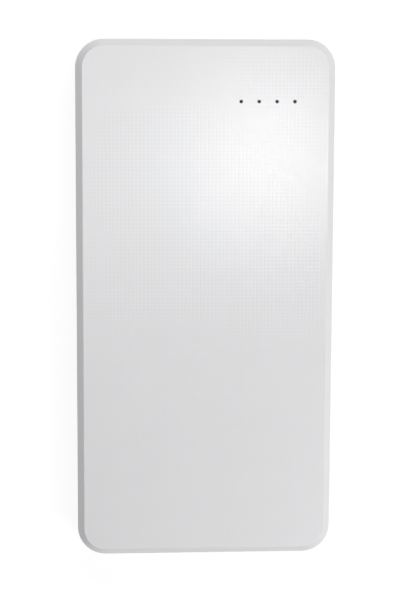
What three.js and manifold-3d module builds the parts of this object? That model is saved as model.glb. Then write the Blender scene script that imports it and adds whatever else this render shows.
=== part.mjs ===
// Slim pocket power bank: a two-part moulded case around two flat pouch cells and one circuit board.
// Millimetres. The bank lies on its back: +Z is the front face's normal, +Y points to the socket end
// and the side button is on +X. The origin is the middle of the back face.
import * as THREE from "three";
import { mergeVertices } from "three/addons/utils/BufferGeometryUtils.js";
import Module from "manifold-3d";

const wasm = await Module();
wasm.setup();

// ---------- Driving dimensions ----------

// Case
const CASE_WIDTH = 73.6;
const CASE_LENGTH = 149.0;
const CASE_THICKNESS = 15.4;
const CORNER_RADIUS = 8.1;
const RIM_CHAMFER = 1.9;
const SIDE_WALL = 1.6;
const FACE_WALL = 1.5;
const CAVITY_CHAMFER = 0.8;
const CORNER_SEGMENTS = 5;
const HALF_WIDTH = CASE_WIDTH / 2;
const HALF_LENGTH = CASE_LENGTH / 2;
const INNER_X = HALF_WIDTH - SIDE_WALL;
const INNER_Y = HALF_LENGTH - SIDE_WALL;
const FLOOR_Z = FACE_WALL;
const CEILING_Z = CASE_THICKNESS - FACE_WALL;
const JOIN = 0.1; // how far a rib or boss runs into the wall it grows from

// Seam between the covers: an open reveal outside, and a lip inside that closes it
const SEAM_Z = CASE_THICKNESS / 2;
const SEAM_REVEAL = 0.2;
const LIP_THICKNESS = 0.75;
const LIP_HEIGHT = 0.8;
const LIP_CLEARANCE = 0.1;

// Snap tabs on the front cover, and the pockets in the back cover that catch them
const SNAP_WIDTH = 6.0;
const SNAP_Y = [-56, -24, 8, 40];
const SNAP_END_X = [-16, 16];
const SNAP_POCKET_LOW_Z = 3.6;
const SNAP_POCKET_HIGH_Z = 5.5;
const SNAP_POCKET_DEPTH = 0.7;
const SNAP_POCKET_SPARE = 0.6; // how much wider a pocket is than its tab
const SNAP_BARB = 0.4;
const SNAP_LEG_FACE = 0.3; // gap between the leg and the cavity's wall
const SNAP_LEG_BACK = 1.3;

// Ribs and rests inside the covers
const RIB_TOP_Z = 6.0;
const RIB_THICKNESS = 0.7;
const RIB_HALF_LENGTH = 4.0;
const CELL_RIB_Y = [-40, -8, 24];
const CELL_GAP = 0.4; // between a cell and the ribs round it
const END_STOP_X = [-28, 28];
const END_STOP_HALF_WIDTH = 3.0;
const CELL_STOP_HALF_WIDTH = 29.0;
const CELL_STOP_GAP = 1.4;
const CELL_STOP_THICKNESS = 1.0;
const CELL_STOP_TOP_Z = 4.7;
const SOCKET_REST_Y = [62, 70];
const SOCKET_REST_THICKNESS = 1.0;
const SOCKET_REST_HALF_WIDTH = 5.5;
const BUTTON_SHELF_HALF_LENGTH = 5.5;
const BUTTON_SHELF_DROP = 2.8;
const BUTTON_GUIDE_INNER = 7.0;
const BUTTON_GUIDE_OUTER = 8.0;
const BUTTON_RIB_DEPTH = 1.4;
const HOLD_DOWN_RADIUS = 1.3;
const HOLD_DOWN_POSTS = [
  [-31.2, 60],
  [31.2, 63.5],
];

// Circuit board
const BOARD_HALF_WIDTH = 33.5;
const BOARD_LOW_Y = 45.5;
const BOARD_HIGH_Y = 72.4;
const BOARD_BOTTOM_Z = 4.92;
const BOARD_THICKNESS = 1.2;
const BOARD_TOP_Z = BOARD_BOTTOM_Z + BOARD_THICKNESS;
const BOARD_CORNER_RADIUS = 6.0;
const BOARD_SCREWS = [
  [-30.5, 48.8],
  [30.5, 48.8],
  [-30.5, 68.6],
  [30.5, 68.6],
];
const SCREW_HOLE_RADIUS = 0.95;
const SCREW_RADIUS = 0.75;
const SCREW_HEAD_RADIUS = 1.6;
const BOSS_RADIUS = 2.1;
const BOARD_HOLE_RADIUS = 1.1;
const BOARD_SQUARE_CORNER_X = 24.0; // where the lower corners stop being rounded
const NOTCH_CLEARANCE = 0.1;
const SEAT_GAP = 0.05; // between a component and the board or cell that it sits on

// Sockets in the port end, measured at the mouth
const PORT_Z = SEAM_Z;
const USB_A = { x: 20.5, width: 13.2, height: 5.7, wall: 0.3, depth: 14.0, mouthY: 73.9 };
const USB_C = { x: 6.0, width: 8.94, height: 3.16, wall: 0.3, depth: 7.35, mouthY: 73.75 };
const MICRO_USB = { x: -6.0, width: 7.5, height: 2.55, wall: 0.3, depth: 5.2, mouthY: 73.75 };
const MICRO_USB_Z = BOARD_TOP_Z + SEAT_GAP + MICRO_USB.height / 2;
const PORT_CLEARANCE = 0.25;

// Indicator lights
const LIGHT_COUNT = 4;
const LIGHT_PITCH = 5.08;
const FIRST_LIGHT_X = 9.92;
const LIGHT_Y = 57.1;
const LIGHT_HOLE_RADIUS = 0.5;
const LIGHT_PIN_RADIUS = 0.42;
const LIGHT_PIN_RECESS = 0.15;
const LIGHT_PIPE_RADIUS = 0.85;
const LIGHT_PIPE_HOLE_RADIUS = 1.0;
const LIGHT_PIPE_LOW_Z = 7.1;
const LIGHT_BAR_HALF_WIDTH = 0.9;
const LIGHT_BAR_LOW_Z = 12.6;
const LIGHT_BAR_HIGH_Z = 13.7;
const LIGHT_BLOCKER_LOW_Z = 6.9;
const LIGHT_RIB_LOW_Z = 12.8;
const LIGHT_RIB_INNER = 1.4;
const LIGHT_RIB_OUTER = 2.2;
const LIGHT_X = Array.from({ length: LIGHT_COUNT }, (_, i) => FIRST_LIGHT_X + i * LIGHT_PITCH);

// Side button and its switch
const BUTTON_Y = 56.0;
const BUTTON_LENGTH = 10.0;
const BUTTON_HEIGHT = 3.2;
const BUTTON_PROUD = 0.35;
const BUTTON_CLEARANCE = 0.2;
const BUTTON_FLANGE_X = 34.9;
const BUTTON_FLANGE_THICKNESS = 0.7;
const BUTTON_FLANGE_HALF_LENGTH = 6.0;
const BUTTON_FLANGE_HALF_HEIGHT = 2.5;
const SWITCH_FACE_X = 31.9;
const SWITCH_DEPTH = 3.0;
const SWITCH_LENGTH = 6.0;
const SWITCH_HEIGHT = 3.0;
const PLUNGER_LENGTH = 2.6;
const PLUNGER_HEIGHT = 1.2;
const PLUNGER_PROUD = 1.0;

// Cells, stacked on the back cover's floor
const CELL_WIDTH = 65.0;
const CELL_BODY_LENGTH = 109.0;
const CELL_TERRACE = 4.0;
const CELL_THICKNESS = 5.5;
const CELL_LOW_Y = -71.2;
const CELL_BODY_HIGH_Y = CELL_LOW_Y + CELL_BODY_LENGTH;
const CELL_HIGH_Y = CELL_BODY_HIGH_Y + CELL_TERRACE;
const CELL_MIDDLE_Y = (CELL_LOW_Y + CELL_BODY_HIGH_Y) / 2;
const TAPE_THICKNESS = 0.2;
const LOWER_CELL_Z = FLOOR_Z + TAPE_THICKNESS + SEAT_GAP;
const UPPER_CELL_Z = LOWER_CELL_Z + CELL_THICKNESS + TAPE_THICKNESS + 2 * SEAT_GAP;
const FOAM_THICKNESS = 0.7;
const TAB_X = 12.0;
const TAB_WIDTH = 6.0;
const TAB_THICKNESS = 0.2;

// ---------- Geometry helpers ----------

/** A rectangle of the given size with rounded corners, as a closed outline. */
function roundedRectangle(width, height, radius, x = 0, y = 0) {
  const right = x + width / 2 - radius;
  const top = y + height / 2 - radius;
  const left = x - width / 2 + radius;
  const bottom = y - height / 2 + radius;
  const shape = new THREE.Shape();
  shape.absarc(right, top, radius, 0, Math.PI / 2);
  shape.absarc(left, top, radius, Math.PI / 2, Math.PI);
  shape.absarc(left, bottom, radius, Math.PI, 1.5 * Math.PI);
  shape.absarc(right, bottom, radius, 1.5 * Math.PI, 2 * Math.PI);
  return shape;
}

/** A polygon outline through a list of [x, y] corners. */
function polygon(corners) {
  return new THREE.Shape(corners.map(([x, y]) => new THREE.Vector2(x, y)));
}

/** An outline drawn in X and Y, extruded up from z = low to z = high. */
function upright(shape, low, high, segments = CORNER_SEGMENTS) {
  const settings = { depth: high - low, bevelEnabled: false, curveSegments: segments };
  return new THREE.ExtrudeGeometry(shape, settings).translate(0, 0, low);
}

/** An outline drawn in X and Z, extruded from y = low to y = high. */
function alongY(shape, low, high, segments = CORNER_SEGMENTS) {
  const settings = { depth: high - low, bevelEnabled: false, curveSegments: segments };
  return new THREE.ExtrudeGeometry(shape, settings).rotateX(Math.PI / 2).translate(0, high, 0);
}

/** An outline drawn in Y and Z, extruded from x = low to x = high. */
function alongX(shape, low, high, segments = CORNER_SEGMENTS) {
  const settings = { depth: high - low, bevelEnabled: false, curveSegments: segments };
  const turn = new THREE.Matrix4().makeBasis(
    new THREE.Vector3(0, 1, 0),
    new THREE.Vector3(0, 0, 1),
    new THREE.Vector3(1, 0, 0),
  );
  return new THREE.ExtrudeGeometry(shape, settings).applyMatrix4(turn).translate(low, 0, 0);
}

/** A box between two limits on each axis. */
function block([x0, x1], [y0, y1], [z0, z1]) {
  const box = new THREE.BoxGeometry(x1 - x0, y1 - y0, z1 - z0);
  return box.translate((x0 + x1) / 2, (y0 + y1) / 2, (z0 + z1) / 2);
}

/** A round post standing on z = low, centred on x and y. */
function post(radius, x, y, low, high, segments = 16) {
  const cylinder = new THREE.CylinderGeometry(radius, radius, high - low, segments);
  return cylinder.rotateX(Math.PI / 2).translate(x, y, (low + high) / 2);
}

/** A body of revolution about the Z axis; the profile is [radius, z] from bottom to top. */
function turned(profile, segments = 24) {
  const points = profile.map(([radius, z]) => new THREE.Vector2(radius, z));
  return new THREE.LatheGeometry(points, segments).rotateX(Math.PI / 2);
}

/** A rounded slab with a flat chamfer round its top and bottom edges. */
function chamferedSlab(width, length, radius, low, high, chamfer) {
  const settings = {
    depth: high - low - 2 * chamfer,
    curveSegments: CORNER_SEGMENTS,
    bevelThickness: chamfer,
    bevelSize: chamfer,
    bevelOffset: -chamfer,
    bevelSegments: 1,
  };
  const outline = roundedRectangle(width, length, radius);
  return new THREE.ExtrudeGeometry(outline, settings).translate(0, 0, low + chamfer);
}

/** A thin bent sheet: a path of [y, z] points with a thickness, extruded across X about its middle. */
function bentSheet(path, thickness, width) {
  const back = [...path].reverse().map(([y, z]) => [y, z + thickness]);
  return alongX(polygon([...path, ...back]), -width / 2, width / 2);
}

/** Turns a closed geometry into a solid for cutting and joining. */
function solid(geometry) {
  const plain = geometry.index ? geometry.toNonIndexed() : geometry.clone();
  plain.deleteAttribute("normal");
  plain.deleteAttribute("uv");
  const merged = mergeVertices(plain, 1e-4);
  const mesh = new wasm.Mesh({
    numProp: 3,
    vertProperties: merged.attributes.position.array,
    triVerts: new Uint32Array(merged.index.array),
  });
  return new wasm.Manifold(mesh);
}

/** Joins extra geometries to a solid. */
function join(body, geometries) {
  return geometries.reduce((result, geometry) => result.add(solid(geometry)), body);
}

/** Cuts geometries out of a solid. */
function cut(body, geometries) {
  return geometries.reduce((result, geometry) => result.subtract(solid(geometry)), body);
}

/** Turns a solid back into a three.js geometry. */
function geometryOf(body) {
  const mesh = body.getMesh();
  const geometry = new THREE.BufferGeometry();
  geometry.setAttribute("position", new THREE.BufferAttribute(mesh.vertProperties, 3));
  geometry.setIndex(new THREE.BufferAttribute(mesh.triVerts, 1));
  geometry.computeVertexNormals();
  return geometry;
}

/** A plastic, rubber, foam or ceramic material. */
function plastic(color, roughness = 0.5) {
  return new THREE.MeshStandardMaterial({ color, roughness, metalness: 0 });
}

/** A bare metal material. */
function metal(color, roughness = 0.3) {
  return new THREE.MeshStandardMaterial({ color, roughness, metalness: 1 });
}

/** Adds a named sub-part to a group, placed by its position. */
function addPart(group, name, shape, material, position = [0, 0, 0]) {
  const geometry = shape.isBufferGeometry ? shape : geometryOf(shape);
  const mesh = new THREE.Mesh(geometry, material);
  mesh.name = name;
  mesh.position.set(...position);
  group.add(mesh);
}

// ---------- Case ----------

/** The slab that fills the case, or its cavity, out to an offset from the cavity's side walls. */
function cavitySlab(offset, low, high, chamfer) {
  const radius = CORNER_RADIUS - SIDE_WALL + offset;
  return chamferedSlab(2 * (INNER_X + offset), 2 * (INNER_Y + offset), radius, low, high, chamfer);
}

/** A straight-sided ring or plug of the cavity's outline, out to an offset from its side walls. */
function cavityPlug(offset, low, high) {
  const radius = CORNER_RADIUS - SIDE_WALL + offset;
  const outline = roundedRectangle(2 * (INNER_X + offset), 2 * (INNER_Y + offset), radius);
  return upright(outline, low, high);
}

/** Everything that passes through the case's walls on the seam: sockets and the side button. */
function wallOpenings() {
  const across = [INNER_Y - JOIN, HALF_LENGTH + JOIN];
  const opening = (port, x, z, radius) => {
    const width = port.width + 2 * PORT_CLEARANCE;
    const height = port.height + 2 * PORT_CLEARANCE;
    return alongY(roundedRectangle(width, height, radius, x, z), ...across, 3);
  };
  const buttonLength = BUTTON_LENGTH + 2 * BUTTON_CLEARANCE;
  const buttonHeight = BUTTON_HEIGHT + 2 * BUTTON_CLEARANCE;
  const buttonOutline = roundedRectangle(
    buttonLength, buttonHeight, buttonHeight / 2 - 0.01, BUTTON_Y, PORT_Z,
  );
  return [
    opening(USB_A, USB_A.x, PORT_Z, 0.8),
    opening(USB_A, -USB_A.x, PORT_Z, 0.8),
    opening(USB_C, USB_C.x, PORT_Z, 1.8),
    opening(MICRO_USB, MICRO_USB.x, MICRO_USB_Z, 0.9),
    alongX(buttonOutline, INNER_X - JOIN, HALF_WIDTH + JOIN, 4),
  ];
}

/** Where the snaps are: a point on the cavity's wall, and the turn that faces +X outwards. */
function snapPlaces() {
  const sides = SNAP_Y.flatMap((y) => [
    { x: INNER_X, y, turn: 0 },
    { x: -INNER_X, y, turn: Math.PI },
  ]);
  const end = SNAP_END_X.map((x) => ({ x, y: -INNER_Y, turn: -Math.PI / 2 }));
  return [...sides, ...end];
}

/** A profile of [distance outwards from the cavity's wall, z], as wide as told, at each snap. */
function atSnaps(profile, width) {
  return snapPlaces().map(({ x, y, turn }) =>
    alongY(polygon(profile), -width / 2, width / 2).rotateZ(turn).translate(x, y, 0),
  );
}

/** The snap tabs: a springy leg inside the seam lip, with a barb that points outwards. */
function snapTabs() {
  const rootZ = CEILING_Z - CAVITY_CHAMFER;
  const barbTopZ = SNAP_POCKET_HIGH_Z - 0.3;
  const tipZ = SNAP_POCKET_LOW_Z + 0.3;
  const profile = [
    [-SNAP_LEG_BACK, rootZ],
    [0.2, rootZ],
    [0.2, SEAM_Z + 0.6],
    [-SNAP_LEG_FACE, SEAM_Z + 0.3],
    [-SNAP_LEG_FACE, barbTopZ],
    [SNAP_BARB, barbTopZ],
    [-SNAP_LEG_FACE, tipZ],
    [-SNAP_LEG_BACK, tipZ],
  ];
  return atSnaps(profile.reverse(), SNAP_WIDTH);
}

/** The pockets in the back cover's wall that the barbs click into. */
function snapPockets() {
  const profile = [
    [-JOIN, SNAP_POCKET_LOW_Z],
    [SNAP_POCKET_DEPTH, SNAP_POCKET_LOW_Z],
    [SNAP_POCKET_DEPTH, SNAP_POCKET_HIGH_Z],
    [-JOIN, SNAP_POCKET_HIGH_Z],
  ];
  return atSnaps(profile, SNAP_WIDTH + SNAP_POCKET_SPARE);
}

/** Ribs beside the lights and the button, and posts that hold the board down. */
function frontCoverRibs() {
  const lightRibX = [LIGHT_X[0] - 2, LIGHT_X[LIGHT_COUNT - 1] + 2];
  const lightRibZ = [LIGHT_RIB_LOW_Z, CEILING_Z + JOIN];
  const guideZ = [SEAM_Z + 0.6, CEILING_Z - CAVITY_CHAMFER];
  const guideX = [INNER_X - BUTTON_RIB_DEPTH, INNER_X + JOIN];
  const holdDowns = HOLD_DOWN_POSTS.map(([x, y]) =>
    post(HOLD_DOWN_RADIUS, x, y, BOARD_TOP_Z + SEAT_GAP, CEILING_Z + JOIN, 12),
  );
  return [
    block(lightRibX, [LIGHT_Y - LIGHT_RIB_OUTER, LIGHT_Y - LIGHT_RIB_INNER], lightRibZ),
    block(lightRibX, [LIGHT_Y + LIGHT_RIB_INNER, LIGHT_Y + LIGHT_RIB_OUTER], lightRibZ),
    block(guideX, [BUTTON_Y - BUTTON_GUIDE_OUTER, BUTTON_Y - BUTTON_GUIDE_INNER], guideZ),
    block(guideX, [BUTTON_Y + BUTTON_GUIDE_INNER, BUTTON_Y + BUTTON_GUIDE_OUTER], guideZ),
    ...holdDowns,
  ];
}

/** The half of the case between two heights, as a shell round the cavity. */
function caseShell(low, high) {
  const outer = solid(
    chamferedSlab(CASE_WIDTH, CASE_LENGTH, CORNER_RADIUS, 0, CASE_THICKNESS, RIM_CHAMFER),
  );
  const half = block([-CASE_WIDTH, CASE_WIDTH], [-CASE_LENGTH, CASE_LENGTH], [low, high]);
  const cavity = cavitySlab(0, FLOOR_Z, CEILING_Z, CAVITY_CHAMFER);
  return outer.intersect(solid(half)).subtract(solid(cavity));
}

function frontCover() {
  const shell = caseShell(SEAM_Z + SEAM_REVEAL / 2, CASE_THICKNESS + 1);
  const lip = solid(cavityPlug(LIP_THICKNESS, SEAM_Z - LIP_HEIGHT, SEAM_Z + 0.3)).subtract(
    solid(cavityPlug(0, SEAM_Z - LIP_HEIGHT - 1, SEAM_Z + 1)),
  );
  const lightHoles = LIGHT_X.map((x) =>
    post(LIGHT_HOLE_RADIUS, x, LIGHT_Y, CEILING_Z - 1, CASE_THICKNESS + 1),
  );
  const body = join(shell.add(lip), [...snapTabs(), ...frontCoverRibs()]);
  return cut(body, [...wallOpenings(), ...lightHoles]);
}

/** Bosses, ribs and stops that stand on the back cover's floor. */
function backCoverRibs() {
  const low = FLOOR_Z - JOIN;
  const ribSpan = [low, RIB_TOP_Z];
  const ribInner = CELL_WIDTH / 2 + CELL_GAP;
  const ribOuter = ribInner + RIB_THICKNESS;
  const bosses = BOARD_SCREWS.map(([x, y]) =>
    post(BOSS_RADIUS, x, y, low, BOARD_BOTTOM_Z - SEAT_GAP),
  );
  const sideRibs = CELL_RIB_Y.flatMap((y) => [
    block([ribInner, ribOuter], [y - RIB_HALF_LENGTH, y + RIB_HALF_LENGTH], ribSpan),
    block([-ribOuter, -ribInner], [y - RIB_HALF_LENGTH, y + RIB_HALF_LENGTH], ribSpan),
  ]);
  const endStopY = [-INNER_Y - JOIN, CELL_LOW_Y - CELL_GAP];
  const endStops = END_STOP_X.map((x) =>
    block([x - END_STOP_HALF_WIDTH, x + END_STOP_HALF_WIDTH], endStopY, ribSpan),
  );
  const cellStopY = CELL_HIGH_Y + CELL_STOP_GAP;
  const cellStop = block(
    [-CELL_STOP_HALF_WIDTH, CELL_STOP_HALF_WIDTH],
    [cellStopY, cellStopY + CELL_STOP_THICKNESS],
    [low, CELL_STOP_TOP_Z],
  );
  const socketRestZ = [low, PORT_Z - USB_A.height / 2 - 0.1];
  const socketRests = [-USB_A.x, USB_A.x].flatMap((x) => {
    const restX = [x - SOCKET_REST_HALF_WIDTH, x + SOCKET_REST_HALF_WIDTH];
    return SOCKET_REST_Y.map((y) => block(restX, [y, y + SOCKET_REST_THICKNESS], socketRestZ));
  });
  const buttonShelf = block(
    [INNER_X - 1.3, INNER_X + JOIN],
    [BUTTON_Y - BUTTON_SHELF_HALF_LENGTH, BUTTON_Y + BUTTON_SHELF_HALF_LENGTH],
    [low, PORT_Z - BUTTON_SHELF_DROP],
  );
  return [...bosses, ...sideRibs, ...endStops, cellStop, ...socketRests, buttonShelf];
}

function backCover() {
  const rebateZ = [SEAM_Z - LIP_HEIGHT - LIP_CLEARANCE, SEAM_Z + 1];
  const shell = caseShell(-1, SEAM_Z - SEAM_REVEAL / 2).subtract(
    solid(cavityPlug(LIP_THICKNESS + LIP_CLEARANCE, ...rebateZ)),
  );
  const screwHoles = BOARD_SCREWS.map(([x, y]) =>
    post(SCREW_HOLE_RADIUS, x, y, FLOOR_Z, BOARD_BOTTOM_Z + 1, 12),
  );
  return cut(join(shell, backCoverRibs()), [...wallOpenings(), ...snapPockets(), ...screwHoles]);
}

// ---------- Button and switch ----------

/** The side button: a rounded cap, a flange that keeps it in, and a nub that meets the plunger. */
function powerButton() {
  const crownX = HALF_WIDTH + BUTTON_PROUD;
  const outline = (inset) =>
    roundedRectangle(
      BUTTON_LENGTH - 2 * inset, BUTTON_HEIGHT - 2 * inset, BUTTON_HEIGHT / 2 - inset - 0.01,
      BUTTON_Y, PORT_Z,
    );
  const cap = solid(alongX(outline(0), BUTTON_FLANGE_X - JOIN, crownX - 0.2, 4));
  const crown = alongX(outline(0.25), crownX - 0.3, crownX, 4);
  const flangeBack = BUTTON_FLANGE_X - BUTTON_FLANGE_THICKNESS;
  const flange = block(
    [flangeBack, BUTTON_FLANGE_X],
    [BUTTON_Y - BUTTON_FLANGE_HALF_LENGTH, BUTTON_Y + BUTTON_FLANGE_HALF_LENGTH],
    [PORT_Z - BUTTON_FLANGE_HALF_HEIGHT, PORT_Z + BUTTON_FLANGE_HALF_HEIGHT],
  );
  const nubEnd = SWITCH_FACE_X + PLUNGER_PROUD + SEAT_GAP;
  const nub = block(
    [nubEnd, flangeBack + JOIN], [BUTTON_Y - 1.5, BUTTON_Y + 1.5], [PORT_Z - 1, PORT_Z + 1],
  );
  return join(cap, [crown, flange, nub]);
}

/** The switch's body, about the middle of its front face at the board's surface. */
function tactSwitch() {
  const body = solid(
    block([-SWITCH_DEPTH, 0], [-SWITCH_LENGTH / 2, SWITCH_LENGTH / 2], [0, SWITCH_HEIGHT]),
  );
  const slotHalfLength = PLUNGER_LENGTH / 2 + 0.2;
  const slotHalfHeight = PLUNGER_HEIGHT / 2 + 0.2;
  const middle = PORT_Z - BOARD_TOP_Z - SEAT_GAP;
  const slot = block(
    [-1.5, 1],
    [-slotHalfLength, slotHalfLength],
    [middle - slotHalfHeight, middle + slotHalfHeight],
  );
  const feet = [-1, 1].map((side) =>
    block([-2.2, -0.8], [side * 2.9 - 0.7, side * 2.9 + 0.7], [0, 0.4]),
  );
  return join(cut(body, [slot]), feet);
}

/** The plunger's head, about the middle of the switch's front face. */
function switchPlunger() {
  return block(
    [-0.8, PLUNGER_PROUD],
    [-PLUNGER_LENGTH / 2, PLUNGER_LENGTH / 2],
    [-PLUNGER_HEIGHT / 2, PLUNGER_HEIGHT / 2],
  );
}

// ---------- Sockets, each about the middle of its mouth, which faces +Y ----------

/** A stamped metal sleeve, open at the mouth and closed at the back. */
function socketSleeve(port, radius) {
  const outline = (shrink) =>
    roundedRectangle(port.width - 2 * shrink, port.height - 2 * shrink, radius - shrink);
  const outer = solid(alongY(outline(0), -port.depth, 0, 3));
  const inner = alongY(outline(port.wall), -port.depth + port.wall, 1, 3);
  return cut(outer, [inner]);
}

/** USB-A sleeve with two spring windows top and bottom and a mounting wing on each side. */
function usbAShell() {
  const sleeve = socketSleeve(USB_A, 0.6);
  const windows = [-3.2, 3.2].map((x) => block([x - 0.8, x + 0.8], [-7.5, -2.5], [-4, 4]));
  const wingLow = BOARD_TOP_Z + SEAT_GAP - PORT_Z;
  const wingShape = [[-11.5, -4], [wingLow, wingLow + USB_A.wall]];
  const root = USB_A.width / 2 - JOIN;
  const tip = USB_A.width / 2 + 1.3;
  const wings = [block([-tip, -root], ...wingShape), block([root, tip], ...wingShape)];
  return join(cut(sleeve, windows), wings);
}

/** An insulator that fills the back of a sleeve and carries a tongue towards the mouth. */
function insulator(back, tongue) {
  return join(solid(block(...back)), [block(...tongue)]);
}

function usbATongue() {
  const halfWidth = USB_A.width / 2 - USB_A.wall - SEAT_GAP;
  const halfHeight = USB_A.height / 2 - USB_A.wall - SEAT_GAP;
  const backY = -USB_A.depth + USB_A.wall + SEAT_GAP;
  return insulator(
    [[-halfWidth + 0.3, halfWidth - 0.3], [backY, -9.2], [-halfHeight, halfHeight]],
    [[-5.55, 5.55], [-9.3, -0.8], [0.02, 1.86]],
  );
}

function usbCTongue() {
  const backY = -USB_C.depth + USB_C.wall + SEAT_GAP;
  return insulator(
    [[-3.2, 3.2], [backY, -5.2], [-1.2, 1.2]],
    [[-3.345, 3.345], [-5.3, -0.8], [-0.35, 0.35]],
  );
}

function microUsbTongue() {
  const backY = -MICRO_USB.depth + MICRO_USB.wall + SEAT_GAP;
  return insulator(
    [[-3.0, 3.0], [backY, -3.8], [-0.9, 0.9]],
    [[-1.9, 1.9], [-3.9, -0.5], [0.1, 0.7]],
  );
}

// ---------- Board and its components, each about its middle at the board's surface ----------

function mainBoard() {
  const width = 2 * BOARD_HALF_WIDTH;
  const middleY = (BOARD_LOW_Y + BOARD_HIGH_Y) / 2;
  const length = BOARD_HIGH_Y - BOARD_LOW_Y;
  const outline = roundedRectangle(width, length, BOARD_CORNER_RADIUS, 0, middleY);
  const lowerEdge = [[BOARD_LOW_Y, middleY], [BOARD_BOTTOM_Z, BOARD_TOP_Z]];
  const lowCorners = [
    block([-BOARD_HALF_WIDTH, -BOARD_SQUARE_CORNER_X], ...lowerEdge),
    block([BOARD_SQUARE_CORNER_X, BOARD_HALF_WIDTH], ...lowerEdge),
  ];
  const notchHalf = USB_A.width / 2 + NOTCH_CLEARANCE;
  const notchLow = USB_A.mouthY - USB_A.depth - 0.15;
  const notches = [-USB_A.x, USB_A.x].map((x) =>
    block([x - notchHalf, x + notchHalf], [notchLow, BOARD_HIGH_Y + 1], [0, CASE_THICKNESS]),
  );
  const holes = BOARD_SCREWS.map(([x, y]) => post(BOARD_HOLE_RADIUS, x, y, 0, CASE_THICKNESS, 12));
  const sheet = solid(upright(outline, BOARD_BOTTOM_Z, BOARD_TOP_Z, 3));
  return cut(join(sheet, lowCorners), [...notches, ...holes]);
}

/** A moulded chip with a row of flat leads along two opposite sides, spaced along X. */
function leadedChip(width, length, height, span, leadsPerSide, pitch) {
  const body = solid(block([-width / 2, width / 2], [-length / 2, length / 2], [0.1, height]));
  const leads = Array.from({ length: leadsPerSide }, (_, i) => {
    const x = (i - (leadsPerSide - 1) / 2) * pitch;
    return block([x - pitch * 0.17, x + pitch * 0.17], [-span / 2, span / 2], [0, 0.3]);
  });
  return join(body, leads);
}

/** A flat no-lead package with a chamfered pin-one corner. */
function flatChip(side, height) {
  const half = side / 2;
  const corners = [[-half, -half], [half, -half], [half, half], [-half + 0.6, half], [-half, half - 0.6]];
  return upright(polygon(corners), 0, height);
}

/** A two-terminal ceramic part: a body between two slightly larger end caps. */
function endCapped(length, width, height) {
  const cap = length * 0.18;
  const bodyX = [-length / 2 + 0.1, length / 2 - 0.1];
  const body = solid(block(bodyX, [-width / 2 + 0.05, width / 2 - 0.05], [0.05, height - 0.05]));
  const endShape = [[-width / 2, width / 2], [0, height]];
  return join(body, [
    block([-length / 2, -length / 2 + cap], ...endShape),
    block([length / 2 - cap, length / 2], ...endShape),
  ]);
}

/** A moulded inductor with clipped corners. */
function powerInductor() {
  const [x, y, clip] = [3.65, 3.4, 1.1];
  const corners = [
    [-x + clip, -y], [x - clip, -y], [x, -y + clip], [x, y - clip],
    [x - clip, y], [-x + clip, y], [-x, y - clip], [-x, -y + clip],
  ];
  return upright(polygon(corners), 0, 4.5);
}

/** An aluminium can capacitor with its rolled groove, on a square plastic base. */
function canCapacitor() {
  const radius = 3.15;
  const waist = 2.85;
  const top = 5.8;
  const profile = [
    [0, 0.6], [radius, 0.6], [radius, 1.3], [waist, 1.6], [waist, 1.8],
    [radius, 2.1], [radius, top - 0.3], [waist, top], [0, top],
  ];
  return join(solid(turned(profile, 20)), [block([-3.3, 3.3], [-3.3, 3.3], [0, 0.8])]);
}

/** A pan-head screw, its shank pointing down from the board's surface. */
function boardScrew() {
  const recess = [
    block([-1.0, 1.0], [-0.18, 0.18], [0.6, 2]),
    block([-0.18, 0.18], [-1.0, 1.0], [0.6, 2]),
  ];
  const tip = FLOOR_Z + 0.5 - BOARD_TOP_Z;
  const profile = [
    [0, tip], [SCREW_RADIUS * 0.5, tip], [SCREW_RADIUS, tip + 0.5], [SCREW_RADIUS, 0.02],
    [SCREW_HEAD_RADIUS, 0.02], [SCREW_HEAD_RADIUS, 0.6], [1.1, 1.1], [0, 1.1],
  ];
  return cut(solid(turned(profile, 16)), recess);
}

// ---------- Indicator lights ----------

/** One clear moulding: a pin in each window, a bar under the face, and a pipe down to each light. */
function lightGuide() {
  const barX = [LIGHT_X[0] - 1.3, LIGHT_X[LIGHT_COUNT - 1] + 1.3];
  const barY = [LIGHT_Y - LIGHT_BAR_HALF_WIDTH, LIGHT_Y + LIGHT_BAR_HALF_WIDTH];
  const bar = solid(block(barX, barY, [LIGHT_BAR_LOW_Z, LIGHT_BAR_HIGH_Z]));
  const pinTop = CASE_THICKNESS - LIGHT_PIN_RECESS;
  const pins = LIGHT_X.map((x) =>
    post(LIGHT_PIN_RADIUS, x, LIGHT_Y, LIGHT_BAR_HIGH_Z - JOIN, pinTop, 12),
  );
  const pipes = LIGHT_X.map((x) =>
    post(LIGHT_PIPE_RADIUS, x, LIGHT_Y, LIGHT_PIPE_LOW_Z, LIGHT_BAR_LOW_Z + JOIN, 12),
  );
  return join(bar, [...pins, ...pipes]);
}

/** A foam block round the pipes, which keeps each light's glow to its own window. */
function lightBlocker() {
  const foamX = [LIGHT_X[0] - 2.4, LIGHT_X[LIGHT_COUNT - 1] + 2.4];
  const foamZ = [LIGHT_BLOCKER_LOW_Z, LIGHT_BAR_LOW_Z - 0.1];
  const foam = solid(block(foamX, [LIGHT_Y - 1.3, LIGHT_Y + 1.3], foamZ));
  return cut(foam, LIGHT_X.map((x) => post(LIGHT_PIPE_HOLE_RADIUS, x, LIGHT_Y, 6, 13, 12)));
}

// ---------- Cells ----------

/** A pouch cell standing on z = 0: the swollen body, and the flat sealed terrace at its tab end. */
function pouchCell() {
  const body = chamferedSlab(CELL_WIDTH, CELL_BODY_LENGTH, 2.5, 0, CELL_THICKNESS, 0.7);
  const terrace = block(
    [-CELL_WIDTH / 2 + 1, CELL_WIDTH / 2 - 1],
    [CELL_BODY_HIGH_Y - 1, CELL_HIGH_Y],
    [CELL_THICKNESS / 2 - 0.3, CELL_THICKNESS / 2 + 0.3],
  );
  return join(solid(body.translate(0, CELL_MIDDLE_Y, 0)), [terrace]);
}

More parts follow.
